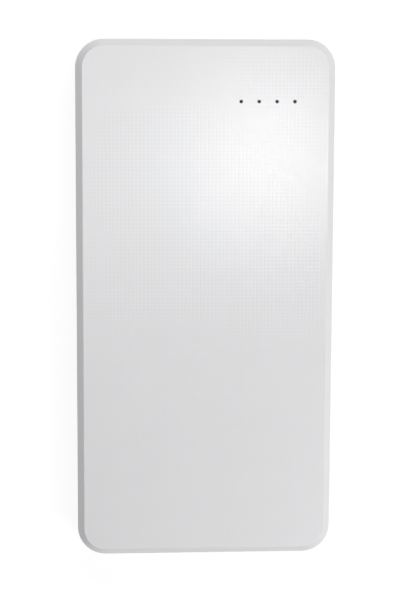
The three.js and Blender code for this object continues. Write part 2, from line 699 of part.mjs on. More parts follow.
/** A sheet of tape or foam as long as the cell's body less a margin, standing on z = 0. */
function cellSheet(margin, thickness) {
  const width = CELL_WIDTH - 2 * margin;
  const length = CELL_BODY_LENGTH - 2 * margin;
  return upright(roundedRectangle(width, length, 2, 0, CELL_MIDDLE_Y), 0, thickness, 2);
}

/** A tape strip over a cell's sealed terrace. */
function terraceTape() {
  return block([-30, 30], [CELL_BODY_HIGH_Y + 0.4, CELL_HIGH_Y - 0.2], [0, 0.15]);
}

/** The bead and its two leads, which run up to the board's edge. */
function thermistor(startZ) {
  const bead = new THREE.SphereGeometry(1, 12, 8)
    .scale(1.1, 1.5, 0.55)
    .translate(0, CELL_HIGH_Y - 1.9, startZ + 0.6);
  const lead = (x) => {
    const route = new THREE.CatmullRomCurve3([
      new THREE.Vector3(x, CELL_HIGH_Y - 1.6, startZ + 0.6),
      new THREE.Vector3(x, CELL_HIGH_Y + 0.6, startZ + 0.9),
      new THREE.Vector3(x, BOARD_LOW_Y - 0.5, BOARD_TOP_Z + 0.9),
      new THREE.Vector3(x, BOARD_LOW_Y + 1.6, BOARD_TOP_Z + 0.4),
    ]);
    const section = new THREE.Shape().absarc(0, 0, 0.28, 0, 2 * Math.PI);
    return new THREE.ExtrudeGeometry(section, {
      steps: 8, curveSegments: 4, extrudePath: route, bevelEnabled: false,
    });
  };
  return join(solid(bead), [lead(-0.5), lead(0.5)]);
}

// ---------- Assembly ----------

const powerBank = new THREE.Group();
const onBoard = BOARD_TOP_Z + SEAT_GAP;

const shellGroup = new THREE.Group();
addPart(shellGroup, "front_cover", frontCover(), plastic("#e6e6e8", 0.5));
addPart(shellGroup, "back_cover", backCover(), plastic("#e6e6e8", 0.5));
addPart(shellGroup, "power_button", powerButton(), plastic("#e2e2e4", 0.4));
powerBank.add(shellGroup);

const batteryGroup = new THREE.Group();
const cells = [["lower", LOWER_CELL_Z], ["upper", UPPER_CELL_Z]];
for (const [level, z] of cells) {
  addPart(batteryGroup, `${level}_cell`, pouchCell(), metal("#b9bcc0", 0.45), [0, 0, z]);
  const tapeZ = z + CELL_THICKNESS / 2 + 0.3 + SEAT_GAP;
  addPart(batteryGroup, `${level}_terrace_tape`, terraceTape(), plastic("#c08a2c", 0.4), [0, 0, tapeZ]);
}
addPart(batteryGroup, "base_tape", cellSheet(6, TAPE_THICKNESS), plastic("#f2f2ee", 0.7), [0, 0, FLOOR_Z]);
addPart(batteryGroup, "cell_tape", cellSheet(6, TAPE_THICKNESS), plastic("#f2f2ee", 0.7), [
  0, 0, LOWER_CELL_Z + CELL_THICKNESS + SEAT_GAP,
]);
addPart(batteryGroup, "foam_pad", cellSheet(4, FOAM_THICKNESS), plastic("#2a2a2c", 0.9), [
  0, 0, UPPER_CELL_Z + CELL_THICKNESS + SEAT_GAP,
]);

const lowerMiddle = LOWER_CELL_Z + CELL_THICKNESS / 2;
const upperMiddle = UPPER_CELL_Z + CELL_THICKNESS / 2;
const tabStart = CELL_HIGH_Y + SEAT_GAP;
const lowerPad = onBoard;
const upperPad = onBoard + TAB_THICKNESS + SEAT_GAP;
const tabPaths = {
  lower: [
    [tabStart, lowerMiddle - 0.1], [CELL_HIGH_Y + 1.2, lowerMiddle + 0.4],
    [BOARD_LOW_Y - 0.3, lowerPad], [BOARD_LOW_Y + 3.5, lowerPad],
  ],
  upper: [
    [tabStart, upperMiddle - 0.1], [CELL_HIGH_Y + 1.4, upperMiddle - 0.4],
    [BOARD_LOW_Y + 0.2, upperPad], [BOARD_LOW_Y + 3.2, upperPad],
  ],
};
for (const [level, path] of Object.entries(tabPaths)) {
  const strip = bentSheet(path, TAB_THICKNESS, TAB_WIDTH);
  addPart(batteryGroup, `${level}_positive_tab`, strip, metal("#c9c7c0"), [TAB_X, 0, 0]);
  addPart(batteryGroup, `${level}_negative_tab`, strip.clone(), metal("#c9c7c0"), [-TAB_X, 0, 0]);
}
const guardZ = upperMiddle + 1.1;
const guardPath = [
  [CELL_BODY_HIGH_Y + 0.4, guardZ],
  [BOARD_LOW_Y - 0.9, guardZ],
  [BOARD_LOW_Y - 0.4, guardZ - 2.6],
];
const guard = bentSheet(guardPath, TAPE_THICKNESS, 56);
addPart(batteryGroup, "insulation_sheet", guard, plastic("#b58a5a", 0.8));
const beadZ = lowerMiddle + 0.3 + SEAT_GAP + 0.15;
addPart(batteryGroup, "thermistor", thermistor(beadZ), plastic("#20242a", 0.5));
powerBank.add(batteryGroup);

const boardGroup = new THREE.Group();
addPart(boardGroup, "main_board", mainBoard(), plastic("#1f6b3a", 0.5));
BOARD_SCREWS.forEach(([x, y], i) => {
  addPart(boardGroup, `board_screw_${i + 1}`, boardScrew(), metal("#8f9296"), [x, y, BOARD_TOP_Z]);
});
LIGHT_X.forEach((x, i) => {
  const place = [x, LIGHT_Y, onBoard];
  addPart(boardGroup, `charge_led_${i + 1}`, endCapped(0.8, 1.6, 0.6), plastic("#f4f2e6"), place);
});
addPart(boardGroup, "light_guide", lightGuide(), plastic("#55585c", 0.15));
addPart(boardGroup, "light_blocker", lightBlocker(), plastic("#1b1b1d", 0.95));
addPart(boardGroup, "tact_switch", tactSwitch(), plastic("#18181a"), [SWITCH_FACE_X, BUTTON_Y, onBoard]);
addPart(boardGroup, "switch_plunger", switchPlunger(), plastic("#e8e4da"), [
  SWITCH_FACE_X, BUTTON_Y, PORT_Z,
]);

// Each component's shape, material and place on the board
const components = {
  power_inductor: [powerInductor(), plastic("#4a4c50", 0.8), -4, 59.8],
  output_capacitor: [canCapacitor(), metal("#c4c6c9"), -19.4, 55.8],
  input_capacitor: [canCapacitor(), metal("#c4c6c9"), -26.6, 54.6],
  power_chip: [flatChip(5, 0.85), plastic("#17181a"), 4.5, 61.5],
  controller_chip: [leadedChip(9.9, 3.9, 1.5, 6, 8, 1.27), plastic("#17181a"), 0, 52],
  protection_chip: [leadedChip(2.9, 1.6, 1.1, 2.8, 3, 0.95), plastic("#17181a"), 11.6, 52.4],
  mosfet_1: [leadedChip(4.9, 3.9, 1.4, 6, 4, 1.27), plastic("#17181a"), 18.3, 51.4],
  mosfet_2: [leadedChip(4.9, 3.9, 1.4, 6, 4, 1.27), plastic("#17181a"), 25.2, 51.4],
  ceramic_capacitor_1: [endCapped(3.2, 1.6, 1.5), plastic("#b49a78", 0.4), -10.5, 57.6],
  ceramic_capacitor_2: [endCapped(3.2, 1.6, 1.5), plastic("#b49a78", 0.4), -10.5, 60.4],
  ceramic_capacitor_3: [endCapped(3.2, 1.6, 1.5), plastic("#b49a78", 0.4), 10.1, 61.2],
  ceramic_capacitor_4: [endCapped(3.2, 1.6, 1.5), plastic("#b49a78", 0.4), 10.1, 63.9],
  sense_resistor: [endCapped(6.4, 3.2, 0.6), plastic("#26282b", 0.4), -12, 53.2],
};
for (const [name, [shape, material, x, y]] of Object.entries(components)) {
  addPart(boardGroup, name, shape, material, [x, y, onBoard]);
}
powerBank.add(boardGroup);

const socketGroup = new THREE.Group();
for (const [side, x] of [["left", -USB_A.x], ["right", USB_A.x]]) {
  const place = [x, USB_A.mouthY, PORT_Z];
  addPart(socketGroup, `usb_a_${side}_shell`, usbAShell(), metal("#c9cbce", 0.25), place);
  addPart(socketGroup, `usb_a_${side}_tongue`, usbATongue(), plastic("#f0f0ee", 0.45), place);
}
const usbCPlace = [USB_C.x, USB_C.mouthY, PORT_Z];
const usbCSleeve = socketSleeve(USB_C, USB_C.height / 2 - 0.01);
addPart(socketGroup, "usb_c_shell", usbCSleeve, metal("#c9cbce", 0.25), usbCPlace);
addPart(socketGroup, "usb_c_tongue", usbCTongue(), plastic("#1a1b1d", 0.45), usbCPlace);
const microPlace = [MICRO_USB.x, MICRO_USB.mouthY, MICRO_USB_Z];
addPart(socketGroup, "micro_usb_shell", socketSleeve(MICRO_USB, 0.6), metal("#c9cbce", 0.25), microPlace);
addPart(socketGroup, "micro_usb_tongue", microUsbTongue(), plastic("#1a1b1d", 0.45), microPlace);
powerBank.add(socketGroup);

export default powerBank;
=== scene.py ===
"""Looks of the slim power bank: a white moulded case with a fine square grid on its face, four indicator
windows, a side button and four sockets, round two pouch cells and a circuit board.

Sizes are in millimetres until a mesh is made. +Z is the front face's normal and +Y the socket end."""

import math

import bmesh
import bpy
from mathutils import Matrix, Vector


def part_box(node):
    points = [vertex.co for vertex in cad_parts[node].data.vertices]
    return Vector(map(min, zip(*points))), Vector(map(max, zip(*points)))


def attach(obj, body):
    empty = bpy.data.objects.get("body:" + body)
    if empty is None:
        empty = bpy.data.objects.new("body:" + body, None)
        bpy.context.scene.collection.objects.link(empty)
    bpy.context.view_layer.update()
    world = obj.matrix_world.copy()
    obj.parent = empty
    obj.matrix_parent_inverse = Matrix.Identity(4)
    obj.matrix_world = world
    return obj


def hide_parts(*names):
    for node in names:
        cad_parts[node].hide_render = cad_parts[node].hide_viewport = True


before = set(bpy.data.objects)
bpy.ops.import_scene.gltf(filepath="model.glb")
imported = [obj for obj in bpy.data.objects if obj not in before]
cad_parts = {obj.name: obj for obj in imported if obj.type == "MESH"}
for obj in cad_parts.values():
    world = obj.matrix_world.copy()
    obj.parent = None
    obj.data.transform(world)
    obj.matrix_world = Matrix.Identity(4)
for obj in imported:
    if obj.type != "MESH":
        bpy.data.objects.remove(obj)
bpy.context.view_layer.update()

# ---------- Driving dimensions ----------

MM = 0.001


def box_mm(node):
    """A CAD node's lowest and highest corners, in millimetres."""
    low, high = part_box(node)
    return low / MM, high / MM


def middle_of(node):
    """The middle of a CAD node's box, in millimetres."""
    low, high = box_mm(node)
    return (low + high) / 2


def spread(middle, pitch, count):
    """Evenly spaced positions about a middle."""
    return [middle + (i - (count - 1) / 2) * pitch for i in range(count)]


def quarter_turn(steps):
    """The sine and cosine at even steps round a quarter turn, without its start."""
    angles = [math.pi / 2 * step / steps for step in range(1, steps + 1)]
    return [(math.sin(angle), math.cos(angle)) for angle in angles]


HALF_WIDTH, HALF_LENGTH, _ = box_mm("back_cover")[1]
THICKNESS = box_mm("front_cover")[1].z
CORNER_RADIUS = 8.1
RIM_CHAMFER = 1.9
RIM_OUTER_FILLET = 0.9
RIM_INNER_FILLET = 0.25
SIDE_WALL = 1.6
FACE_WALL = 1.5
CAVITY_CHAMFER = 0.8
FLOOR_Z = FACE_WALL
CEILING_Z = THICKNESS - FACE_WALL
SEAM_Z = THICKNESS / 2
SEAM_REVEAL = 0.2
SEAM_BEVEL = 0.12
LIP_THICKNESS = 0.75
LIP_HEIGHT = 0.8
LIP_CHAMFER = 0.2
LIP_CLEARANCE = 0.1
CORNER_STEPS = 24
# Cutters pass a surface by this much, and a rounded box's corners keep at least this radius
CUT_PAST = 0.5
LEAST_ROUND = 0.005

# The moulded grid: square pads between wide, very shallow V grooves, with a smooth border and band
GRID_PITCH = 1.08
GROOVE_HALF_WIDTH = 0.27
GROOVE_DEPTH = 0.008
GRID_BORDER = 0.45
BAND_LOW_Y = 56.0
BAND_HIGH_Y = 58.45
# The plain panel in the back's grid
PANEL_HALF_WIDTH = 22.0
PANEL_LOW_Y = -40.0
PANEL_HIGH_Y = -8.0

# Indicator windows, from the light guide's bar
GUIDE_LOW, GUIDE_HIGH = box_mm("light_guide")
LIGHT_COUNT = 4
LIGHT_PITCH = 5.08
LIGHT_Y = middle_of("light_guide").y
LIGHT_X = spread(middle_of("light_guide").x, LIGHT_PITCH, LIGHT_COUNT)
WINDOW_RADIUS = 0.5
WINDOW_FLARE = 0.02
GUIDE_BAR_LOW_Z = 12.6
GUIDE_BAR_HIGH_Z = 13.7
LED_END = 0.16

# The socket openings: each shell's corner radius there
USB_A_SHELLS = ("usb_a_left_shell", "usb_a_right_shell")
OPENING_RADII = {**dict.fromkeys(USB_A_SHELLS, 0.8), "usb_c_shell": 1.8, "micro_usb_shell": 0.9}
PORT_CLEARANCE = 0.25
PORT_FLARE = 0.22
USB_A_WING = 1.3
USB_A_WING_Z = 6.17
USB_A_CONTACTS = (-3.5, -1.0, 1.0, 3.5)

# The side button, and the outer face of its flange
BUTTON_LOW, BUTTON_HIGH = box_mm("power_button")
_, BUTTON_Y, BUTTON_Z = middle_of("power_button")
BUTTON_LENGTH = 10.0
BUTTON_HEIGHT = 3.2
BUTTON_CLEARANCE = 0.2
BUTTON_FLARE = 0.18
FLANGE_X = 34.9

# The circuit board: its upper face, the tinned pads on it, and its leaded chips
BOARD_LOW, BOARD_HIGH = box_mm("main_board")
BOARD_BEVEL = 0.06
PAD_Z = BOARD_HIGH.z
PAD_HEIGHT = 0.035
SCREWS = [f"board_screw_{i}" for i in range(1, 5)]
# Each leaded chip: width and length of its body, leads a side and their pitch
LEADED = {
    "controller_chip": (9.9, 3.9, 8, 1.27),
    "protection_chip": (2.9, 1.6, 3, 0.95),
    "mosfet_1": (4.9, 3.9, 4, 1.27),
    "mosfet_2": (4.9, 3.9, 4, 1.27),
}


def socket_size(node):
    """Middle of a sleeve's mouth, and its width, height and depth, without its mounting wings."""
    low, high = box_mm(node)
    wing = USB_A_WING if node.startswith("usb_a") else 0.0
    middle = middle_of(node)
    middle.y = high.y
    return middle, high.x - low.x - 2 * wing, high.z - low.z, high.y - low.y


# ---------- Mesh kit ----------


def link(obj):
    bpy.context.scene.collection.objects.link(obj)
    return obj


def piece(name, vertices, faces):
    """A mesh object from vertices in millimetres, with its faces turned outwards."""
    mesh = bpy.data.meshes.new(name)
    mesh.from_pydata([Vector(v) * MM for v in vertices], [], faces)
    shape = bmesh.new()
    shape.from_mesh(mesh)
    bmesh.ops.recalc_face_normals(shape, faces=shape.faces)
    shape.to_mesh(mesh)
    shape.free()
    return link(bpy.data.objects.new(name, mesh))


def rounded_ring(half_x, half_y, radii, steps=CORNER_STEPS, x=0.0, y=0.0):
    """Points round a rectangle with rounded corners, anticlockwise from its right-hand side.

    One radius, or four: upper right, upper left, lower left, lower right."""
    if not isinstance(radii, tuple):
        radii = (radii,) * 4
    points = []
    for corner, radius in enumerate(radii):
        sign_x = (1, -1, -1, 1)[corner]
        sign_y = (1, 1, -1, -1)[corner]
        for step in range(steps + 1):
            angle = math.pi / 2 * (corner + step / steps)
            points.append((
                x + sign_x * (half_x - radius) + radius * math.cos(angle),
                y + sign_y * (half_y - radius) + radius * math.sin(angle),
            ))
    return points


def loft(name, rings):
    """A closed solid through rings of points, each with as many points, capped at both ends."""
    count = len(rings[0])
    vertices = [point for ring in rings for point in ring]
    faces = [tuple(range(count))[::-1], tuple(range(len(vertices) - count, len(vertices)))]
    for level in range(len(rings) - 1):
        base = level * count
        for i in range(count):
            after = (i + 1) % count
            faces.append((base + i, base + after, base + count + after, base + count + i))
    return piece(name, vertices, faces)


def rounded_path(corners, steps=6):
    """A path through [across, up, radius] corners, with each corner turned into an arc."""
    path = [Vector(corners[0][:2])]
    for before, corner, after in zip(corners, corners[1:], corners[2:]):
        here = Vector(corner[:2])
        radius = corner[2]
        if radius == 0:
            path.append(here)
            continue
        back = (Vector(before[:2]) - here).normalized()
        ahead = (Vector(after[:2]) - here).normalized()
        half_angle = back.angle(ahead) / 2
        reach = radius / math.tan(half_angle)
        centre = here + (back + ahead).normalized() * (radius / math.sin(half_angle))
        start = here + back * reach - centre
        turn = start.angle_signed(here + ahead * reach - centre)
        for step in range(steps + 1):
            path.append(centre + Matrix.Rotation(-turn * step / steps, 2) @ start)
    path.append(Vector(corners[-1][:2]))
    return path


def block(name, low, high):
    """A box between two corners; only ever used to cut or to join."""
    vertices = [(x, y, z) for x in (low[0], high[0]) for y in (low[1], high[1]) for z in (low[2], high[2])]
    faces = [(0, 1, 3, 2), (4, 6, 7, 5), (0, 4, 5, 1), (2, 3, 7, 6), (0, 2, 6, 4), (1, 5, 7, 3)]
    return piece(name, vertices, faces)


def along_z(name, rings):
    """A solid through [outline, z] rings, whose outlines are drawn in X and Y."""
    return loft(name, [[(x, y, z) for x, y in outline] for outline, z in rings])


def along_y(name, rings):
    """A solid through [outline, y] rings, whose outlines are drawn in X and Z."""
    return loft(name, [[(x, y, z) for x, z in outline] for outline, y in rings])


def along_x(name, rings):
    """A solid through [outline, x] rings, whose outlines are drawn in Y and Z."""
    return loft(name, [[(x, y, z) for y, z in outline] for outline, x in rings])


def shrunk(profile, half_a, half_b, radii, steps=CORNER_STEPS, middle=(0, 0), fixed=False):
    """Rings of one rounded rectangle, shrunk by each inset of [inset, level] pairs.

    Its corner radii shrink with it unless they are fixed."""
    if not isinstance(radii, tuple):
        radii = (radii,) * 4
    rings = []
    for inset, level in profile:
        here = radii if fixed else tuple(radius - inset for radius in radii)
        rings.append((rounded_ring(half_a - inset, half_b - inset, here, steps, *middle), level))
    return rings


def case_solid(name, profile):
    """The case's rounded outline, shrunk by each inset of [inset, z] pairs."""
    return along_z(name, shrunk(profile, HALF_WIDTH, HALF_LENGTH, CORNER_RADIUS))


def circle(radius, x, y, steps):
    turns = [math.tau * i / steps for i in range(steps)]
    return [(x + radius * math.cos(turn), y + radius * math.sin(turn)) for turn in turns]


def post(name, rings, x, y, steps=32):
    """A round post through [radius, z] rings."""
    return along_z(name, [(circle(radius, x, y, steps), z) for radius, z in rings])


def soft_box(name, corner, opposite, radius=0.3, top=0.1, bottom=0.0, steps=4):
    """A box between two opposite corners, with round upright corners and round edges above and below."""
    low, high = [[pick(pair) for pair in zip(corner, opposite)] for pick in (min, max)]
    radius = max(radius, top + LEAST_ROUND, bottom + LEAST_ROUND)
    arc = [(0, 1)] + quarter_turn(steps)

    def edge(size):
        return [(size * (1 - sine), size * (1 - cosine)) for sine, cosine in (arc if size else arc[-1:])]

    profile = [(inset, low[2] + rise) for inset, rise in edge(bottom)]
    profile += [(inset, high[2] - drop) for inset, drop in reversed(edge(top))]
    half_x, half_y = (high[0] - low[0]) / 2, (high[1] - low[1]) / 2
    middle = (low[0] + high[0]) / 2, (low[1] + high[1]) / 2
    return along_z(name, shrunk(profile, half_x, half_y, radius, steps, middle))


def bent_strip(name, path, thickness, low_x, high_x):
    """A sheet across X whose middle line is a path in Y and Z."""
    points = [Vector(p[:2]) for p in path]
    last = len(points) - 1
    above, below = [], []
    for i, point in enumerate(points):
        along = (points[min(i + 1, last)] - points[max(i - 1, 0)]).normalized()
        across = Vector((-along.y, along.x)) * thickness / 2
        above.append(point + across)
        below.append(point - across)
    outline = above + below[::-1]
    return along_x(name, [(outline, low_x), (outline, high_x)])


def tube(name, points, radius, steps=10):
    """A round wire through points."""
    points = [Vector(p) for p in points]
    last = len(points) - 1
    rings = []
    for i, point in enumerate(points):
        along = (points[min(i + 1, last)] - points[max(i - 1, 0)]).normalized()
        side = along.cross(Vector((1, 0, 0))).normalized()
        up = side.cross(along)
        turns = [math.tau * step / steps for step in range(steps)]
        rings.append([point + radius * (math.cos(a) * side + math.sin(a) * up) for a in turns])
    return loft(name, rings)


def gather(name, parts):
    """Several separate solids as one mesh object."""
    shape = bmesh.new()
    for part in parts:
        shape.from_mesh(part.data)
        bpy.data.objects.remove(part)
    mesh = bpy.data.meshes.new(name)
    shape.to_mesh(mesh)
    shape.free()
    return link(bpy.data.objects.new(name, mesh))


def combine(target, operation, cutter):
    """Applies one boolean to a piece and removes the cutter."""
    modifier = target.modifiers.new(operation, "BOOLEAN")
    modifier.operation = operation
    modifier.object = cutter
    modifier.solver = "MANIFOLD"
    depsgraph = bpy.context.evaluated_depsgraph_get()
    mesh = bpy.data.meshes.new_from_object(target.evaluated_get(depsgraph))
    if operation != "INTERSECT" and len(mesh.vertices) == len(target.data.vertices):
        raise RuntimeError(f"{operation} of {cutter.name} changed nothing in {target.name}")
    target.modifiers.clear()
    target.data = mesh
    bpy.data.objects.remove(cutter)
    return target


def cut(target, *cutters):
    for cutter in cutters:
        combine(target, "DIFFERENCE", cutter)
    return target


def join(target, *additions):
    for addition in additions:
        combine(target, "UNION", addition)
    return target


def keep_inside(target, region):
    return combine(target, "INTERSECT", region)


def copy_of(node):
    """A copy of a CAD node's mesh, welded, to join or cut with."""
    shape = bmesh.new()
    shape.from_mesh(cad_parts[node].data)
    bmesh.ops.remove_doubles(shape, verts=shape.verts, dist=0.0005 * MM)
    mesh = bpy.data.meshes.new(node + "_copy")
    shape.to_mesh(mesh)
    shape.free()
    return link(bpy.data.objects.new(node + "_copy", mesh))


def shade(obj, angle=30.0):
    """Smooth shading with hard edges past an angle, and flat faces kept flat."""
    obj.data.polygons.foreach_set("use_smooth", [True] * len(obj.data.polygons))
    obj.data.set_sharp_from_angle(angle=math.radians(angle))
    modifier = obj.modifiers.new("flat_faces", "WEIGHTED_NORMAL")
    modifier.keep_sharp = True
    return obj


def flatten_faces(obj, least_z=0.85):
    """Flat shading on every face that nearly faces up or down, so that the grid's pads stay true."""
    for polygon in obj.data.polygons:
        if abs(polygon.normal.z) > least_z:
            polygon.use_smooth = False
    return obj


def dress(obj, material, slot, body, *nodes):
    """Gives a piece its material and its body, and hides the CAD nodes that it stands for; its slot is not
    used.
    """
    obj.data.materials.clear()
    obj.data.materials.append(material)
    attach(obj, body)
    if nodes:
        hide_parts(*nodes)
    return obj


# ---------- Materials ----------

RAMP_INPUTS = ("From Min", "From Max", "To Min", "To Max")
# The case's roughness: two ends of the grain on its faces, the front's band, and the rim and walls
FACE_ROUGHNESS = (0.168, 0.178)
BAND_ROUGHNESS = 0.2
WALL_ROUGHNESS = 0.42


class Shader:
    """Shorthand for one procedural material. Coordinates are the row frame's, in metres."""

    def __init__(self, name, **values):
        self.material = bpy.data.materials.new(name)
        self.material.use_nodes = True
        self.tree = self.material.node_tree
        self.surface = self.tree.nodes["Principled BSDF"]
        self.place = self.node("ShaderNodeTexCoord").outputs["Object"]
        for key, value in values.items():
            self.surface.inputs[key.replace("_", " ")].default_value = value

    def node(self, kind, **settings):
        made = self.tree.nodes.new(kind)
        for key, value in settings.items():
            setattr(made, key, value)
        return made

    def feed(self, socket, value):
        """Links a value into a socket, or sets it if it is a plain number or colour."""
        if isinstance(value, bpy.types.NodeSocket):
            self.tree.links.new(value, socket)
        else:
            socket.default_value = value

    def noise(self, size_mm, detail=3.0, stretch=(1, 1, 1)):
        """Noise with features of about the given size."""
        scaled = self.node("ShaderNodeMapping")
        scaled.inputs["Scale"].default_value = stretch
        self.feed(scaled.inputs["Vector"], self.place)
        made = self.node("ShaderNodeTexNoise")
        made.inputs["Scale"].default_value = 1 / (size_mm * MM)
        made.inputs["Detail"].default_value = detail
        self.feed(made.inputs["Vector"], scaled.outputs["Vector"])
        return made.outputs["Fac"]

    def cells(self, size_mm, **settings):
        """Distance from the middle of the nearest of many cells of about the given size."""
        made = self.node("ShaderNodeTexVoronoi", **settings)
        made.inputs["Scale"].default_value = 1 / (size_mm * MM)
        self.feed(made.inputs["Vector"], self.place)
        return made.outputs["Distance"]

    def ramp(self, value, low, high, out_low, out_high):
        """Maps a value's range onto another, and holds it at the ends."""
        made = self.node("ShaderNodeMapRange")
        self.feed(made.inputs["Value"], value)
        for name, number in zip(RAMP_INPUTS, (low, high, out_low, out_high)):
            self.feed(made.inputs[name], number)
        return made.outputs["Result"]

    def math(self, operation, a, b=0.0):
        made = self.node("ShaderNodeMath", operation=operation)
        self.feed(made.inputs[0], a)
        self.feed(made.inputs[1], b)
        return made.outputs["Value"]

    def blend(self, factor, a, b):
        """Mixes two colours."""
        made = self.node("ShaderNodeMix", data_type="RGBA")
        self.feed(made.inputs["Factor"], factor)
        self.feed(made.inputs["A"], a)
        self.feed(made.inputs["B"], b)
        return made.outputs["Result"]

    def axis(self, letter, vector=None):
        """One coordinate of a vector, or of the place in metres."""
        split = self.node("ShaderNodeSeparateXYZ")
        self.feed(split.inputs["Vector"], vector or self.place)
        return split.outputs[letter]

    def uprightness(self):
        """How nearly a surface faces straight up or down, from 0 to 1."""
        normal = self.node("ShaderNodeNewGeometry").outputs["Normal"]
        return self.math("ABSOLUTE", self.axis("Z", normal))

    def bump(self, height, depth_mm, strength):
        made = self.node("ShaderNodeBump")
        made.inputs["Strength"].default_value = strength
        made.inputs["Distance"].default_value = depth_mm * MM
        self.feed(made.inputs["Height"], height)
        self.feed(self.surface.inputs["Normal"], made.outputs["Normal"])

    def paint(self, color, roughness):
        self.feed(self.surface.inputs["Base Color"], color)
        self.feed(self.surface.inputs["Roughness"], roughness)
        return self.material


def case_plastic():
    """White moulded plastic: polished on its faces, a little less in the band, satin on rim and walls."""
    shader = Shader("case_plastic", IOR=1.5)
    cloud = shader.noise(22.0, detail=2.0)
    color = shader.blend(cloud, (0.700, 0.700, 0.712, 1), (0.716, 0.716, 0.726, 1))
    y = shader.axis("Y")
    above = shader.math("GREATER_THAN", y, BAND_LOW_Y * MM)
    below = shader.math("LESS_THAN", y, BAND_HIGH_Y * MM)
    on_front = shader.math("GREATER_THAN", shader.axis("Z"), (THICKNESS - 0.02) * MM)
    band = shader.math("MULTIPLY", shader.math("MULTIPLY", above, below), on_front)
    grain = shader.noise(0.22, detail=2.0)
    face = shader.ramp(band, 0.0, 1.0, shader.ramp(grain, 0.3, 0.7, *FACE_ROUGHNESS), BAND_ROUGHNESS)
    level = shader.ramp(shader.uprightness(), 0.993, 0.999, 0.0, 1.0)
    return shader.paint(color, shader.ramp(level, 0.0, 1.0, WALL_ROUGHNESS, face))


def finish(name, dark, light, size_mm, roughness, bump_mm=0.0, stretch=(1, 1, 1), **values):
    """A surface that drifts between two tones, with grain of the given size in its gloss and relief."""
    shader = Shader(name, **values)
    grain = shader.noise(size_mm, stretch=stretch)
    drift = shader.noise(size_mm * 9, detail=2.0)
    if bump_mm:
        shader.bump(grain, bump_mm, 0.6)
    color = shader.blend(drift, (*dark, 1), (*light, 1))
    return shader.paint(color, shader.ramp(grain, 0.3, 0.7, *roughness))


def board_material():
    """Green solder mask over faint copper traces, with the bare glass fibre at the edges."""
    shader = Shader("solder_mask", IOR=1.5)
    rings = shader.math("PINGPONG", shader.cells(4.5, distance="CHEBYCHEV"), 0.055)
    trace = shader.ramp(rings, 0.022, 0.032, 0.0, 1.0)
    mask = shader.blend(trace, (0.010, 0.115, 0.035, 1), (0.022, 0.190, 0.062, 1))
    level = shader.math("GREATER_THAN", shader.uprightness(), 0.7)
    weave = shader.noise(0.3, stretch=(1, 1, 6))
    fibre = shader.blend(weave, (0.36, 0.29, 0.13, 1), (0.50, 0.42, 0.22, 1))
    shader.bump(trace, 0.02, 0.6)
    return shader.paint(shader.blend(level, fibre, mask), shader.ramp(level, 0.0, 1.0, 0.7, 0.28))


def foam_material():
    """Black closed-cell foam, with painted shade: darker in the cell hollows and lighter on the cell walls.
    """
    shader = Shader("closed_cell_foam")
    wall = shader.ramp(shader.cells(0.35), 0.1, 0.7, 0.0, 1.0)
    shader.bump(wall, 0.06, 0.8)
    # Painted shade: the cell relief that the bump follows also makes the colour darker in the hollows
    return shader.paint(shader.blend(wall, (0.012, 0.012, 0.013, 1), (0.035, 0.035, 0.037, 1)), 0.92)


def foil_material():
    """Aluminium laminate foil with a fine embossed grain and faint creases, with painted shade darkening the
    creases' low parts.
    """
    shader = Shader("laminate_foil", Metallic=1.0)
    grain = shader.noise(0.25)
    crease = shader.noise(7.0, detail=5.0, stretch=(1, 0.4, 1))
    # Painted shade: the foil is darker where the creases sink, following the crease relief of the bump below
    color = shader.blend(crease, (0.52, 0.53, 0.55, 1), (0.66, 0.67, 0.69, 1))
    height = shader.math("ADD", shader.math("MULTIPLY", crease, 3.0), grain)
    shader.bump(height, 0.03, 0.5)
    return shader.paint(color, shader.ramp(grain, 0.3, 0.7, 0.32, 0.44))


# Each plain finish: dark and light tone, grain size, roughness at its two ends, relief and stretch
PLAIN = {
    "button_white": ((0.690, 0.690, 0.702), (0.705, 0.705, 0.715), 0.4, (0.30, 0.38), 0.003),
    "switch_black": ((0.016, 0.016, 0.018), (0.024, 0.024, 0.026), 0.15, (0.48, 0.60), 0.004),
    "plunger_ivory": ((0.66, 0.60, 0.47), (0.72, 0.67, 0.54), 0.2, (0.38, 0.46), 0.003),
    "tongue_white": ((0.72, 0.72, 0.69), (0.77, 0.77, 0.74), 0.2, (0.34, 0.44), 0.003),
    "tongue_black": ((0.014, 0.014, 0.016), (0.022, 0.022, 0.024), 0.15, (0.38, 0.50), 0.003),
    "ferrite_grey": ((0.050, 0.052, 0.056), (0.082, 0.084, 0.090), 0.12, (0.66, 0.82), 0.02),
    "chip_black": ((0.010, 0.011, 0.012), (0.020, 0.021, 0.023), 0.08, (0.50, 0.66), 0.006),
    "ceramic_tan": ((0.34, 0.235, 0.125), (0.42, 0.300, 0.170), 0.1, (0.42, 0.54), 0.005),
    "resistor_black": ((0.012, 0.012, 0.015), (0.022, 0.022, 0.026), 0.3, (0.16, 0.26)),
    "led_cream": ((0.80, 0.74, 0.42), (0.86, 0.81, 0.52), 0.15, (0.18, 0.28)),
    "tape_white": ((0.76, 0.76, 0.72), (0.82, 0.82, 0.79), 0.5, (0.60, 0.74), 0.01),
    "tape_amber": ((0.40, 0.155, 0.010), (0.52, 0.225, 0.022), 0.7, (0.18, 0.30), 0.004),
    "paper_tan": ((0.28, 0.165, 0.065), (0.38, 0.235, 0.105), 0.12, (0.76, 0.90), 0.02, (1, 0.2, 1)),
    "thermistor_dark": ((0.012, 0.015, 0.020), (0.022, 0.026, 0.034), 0.2, (0.14, 0.26), 0.004),
}
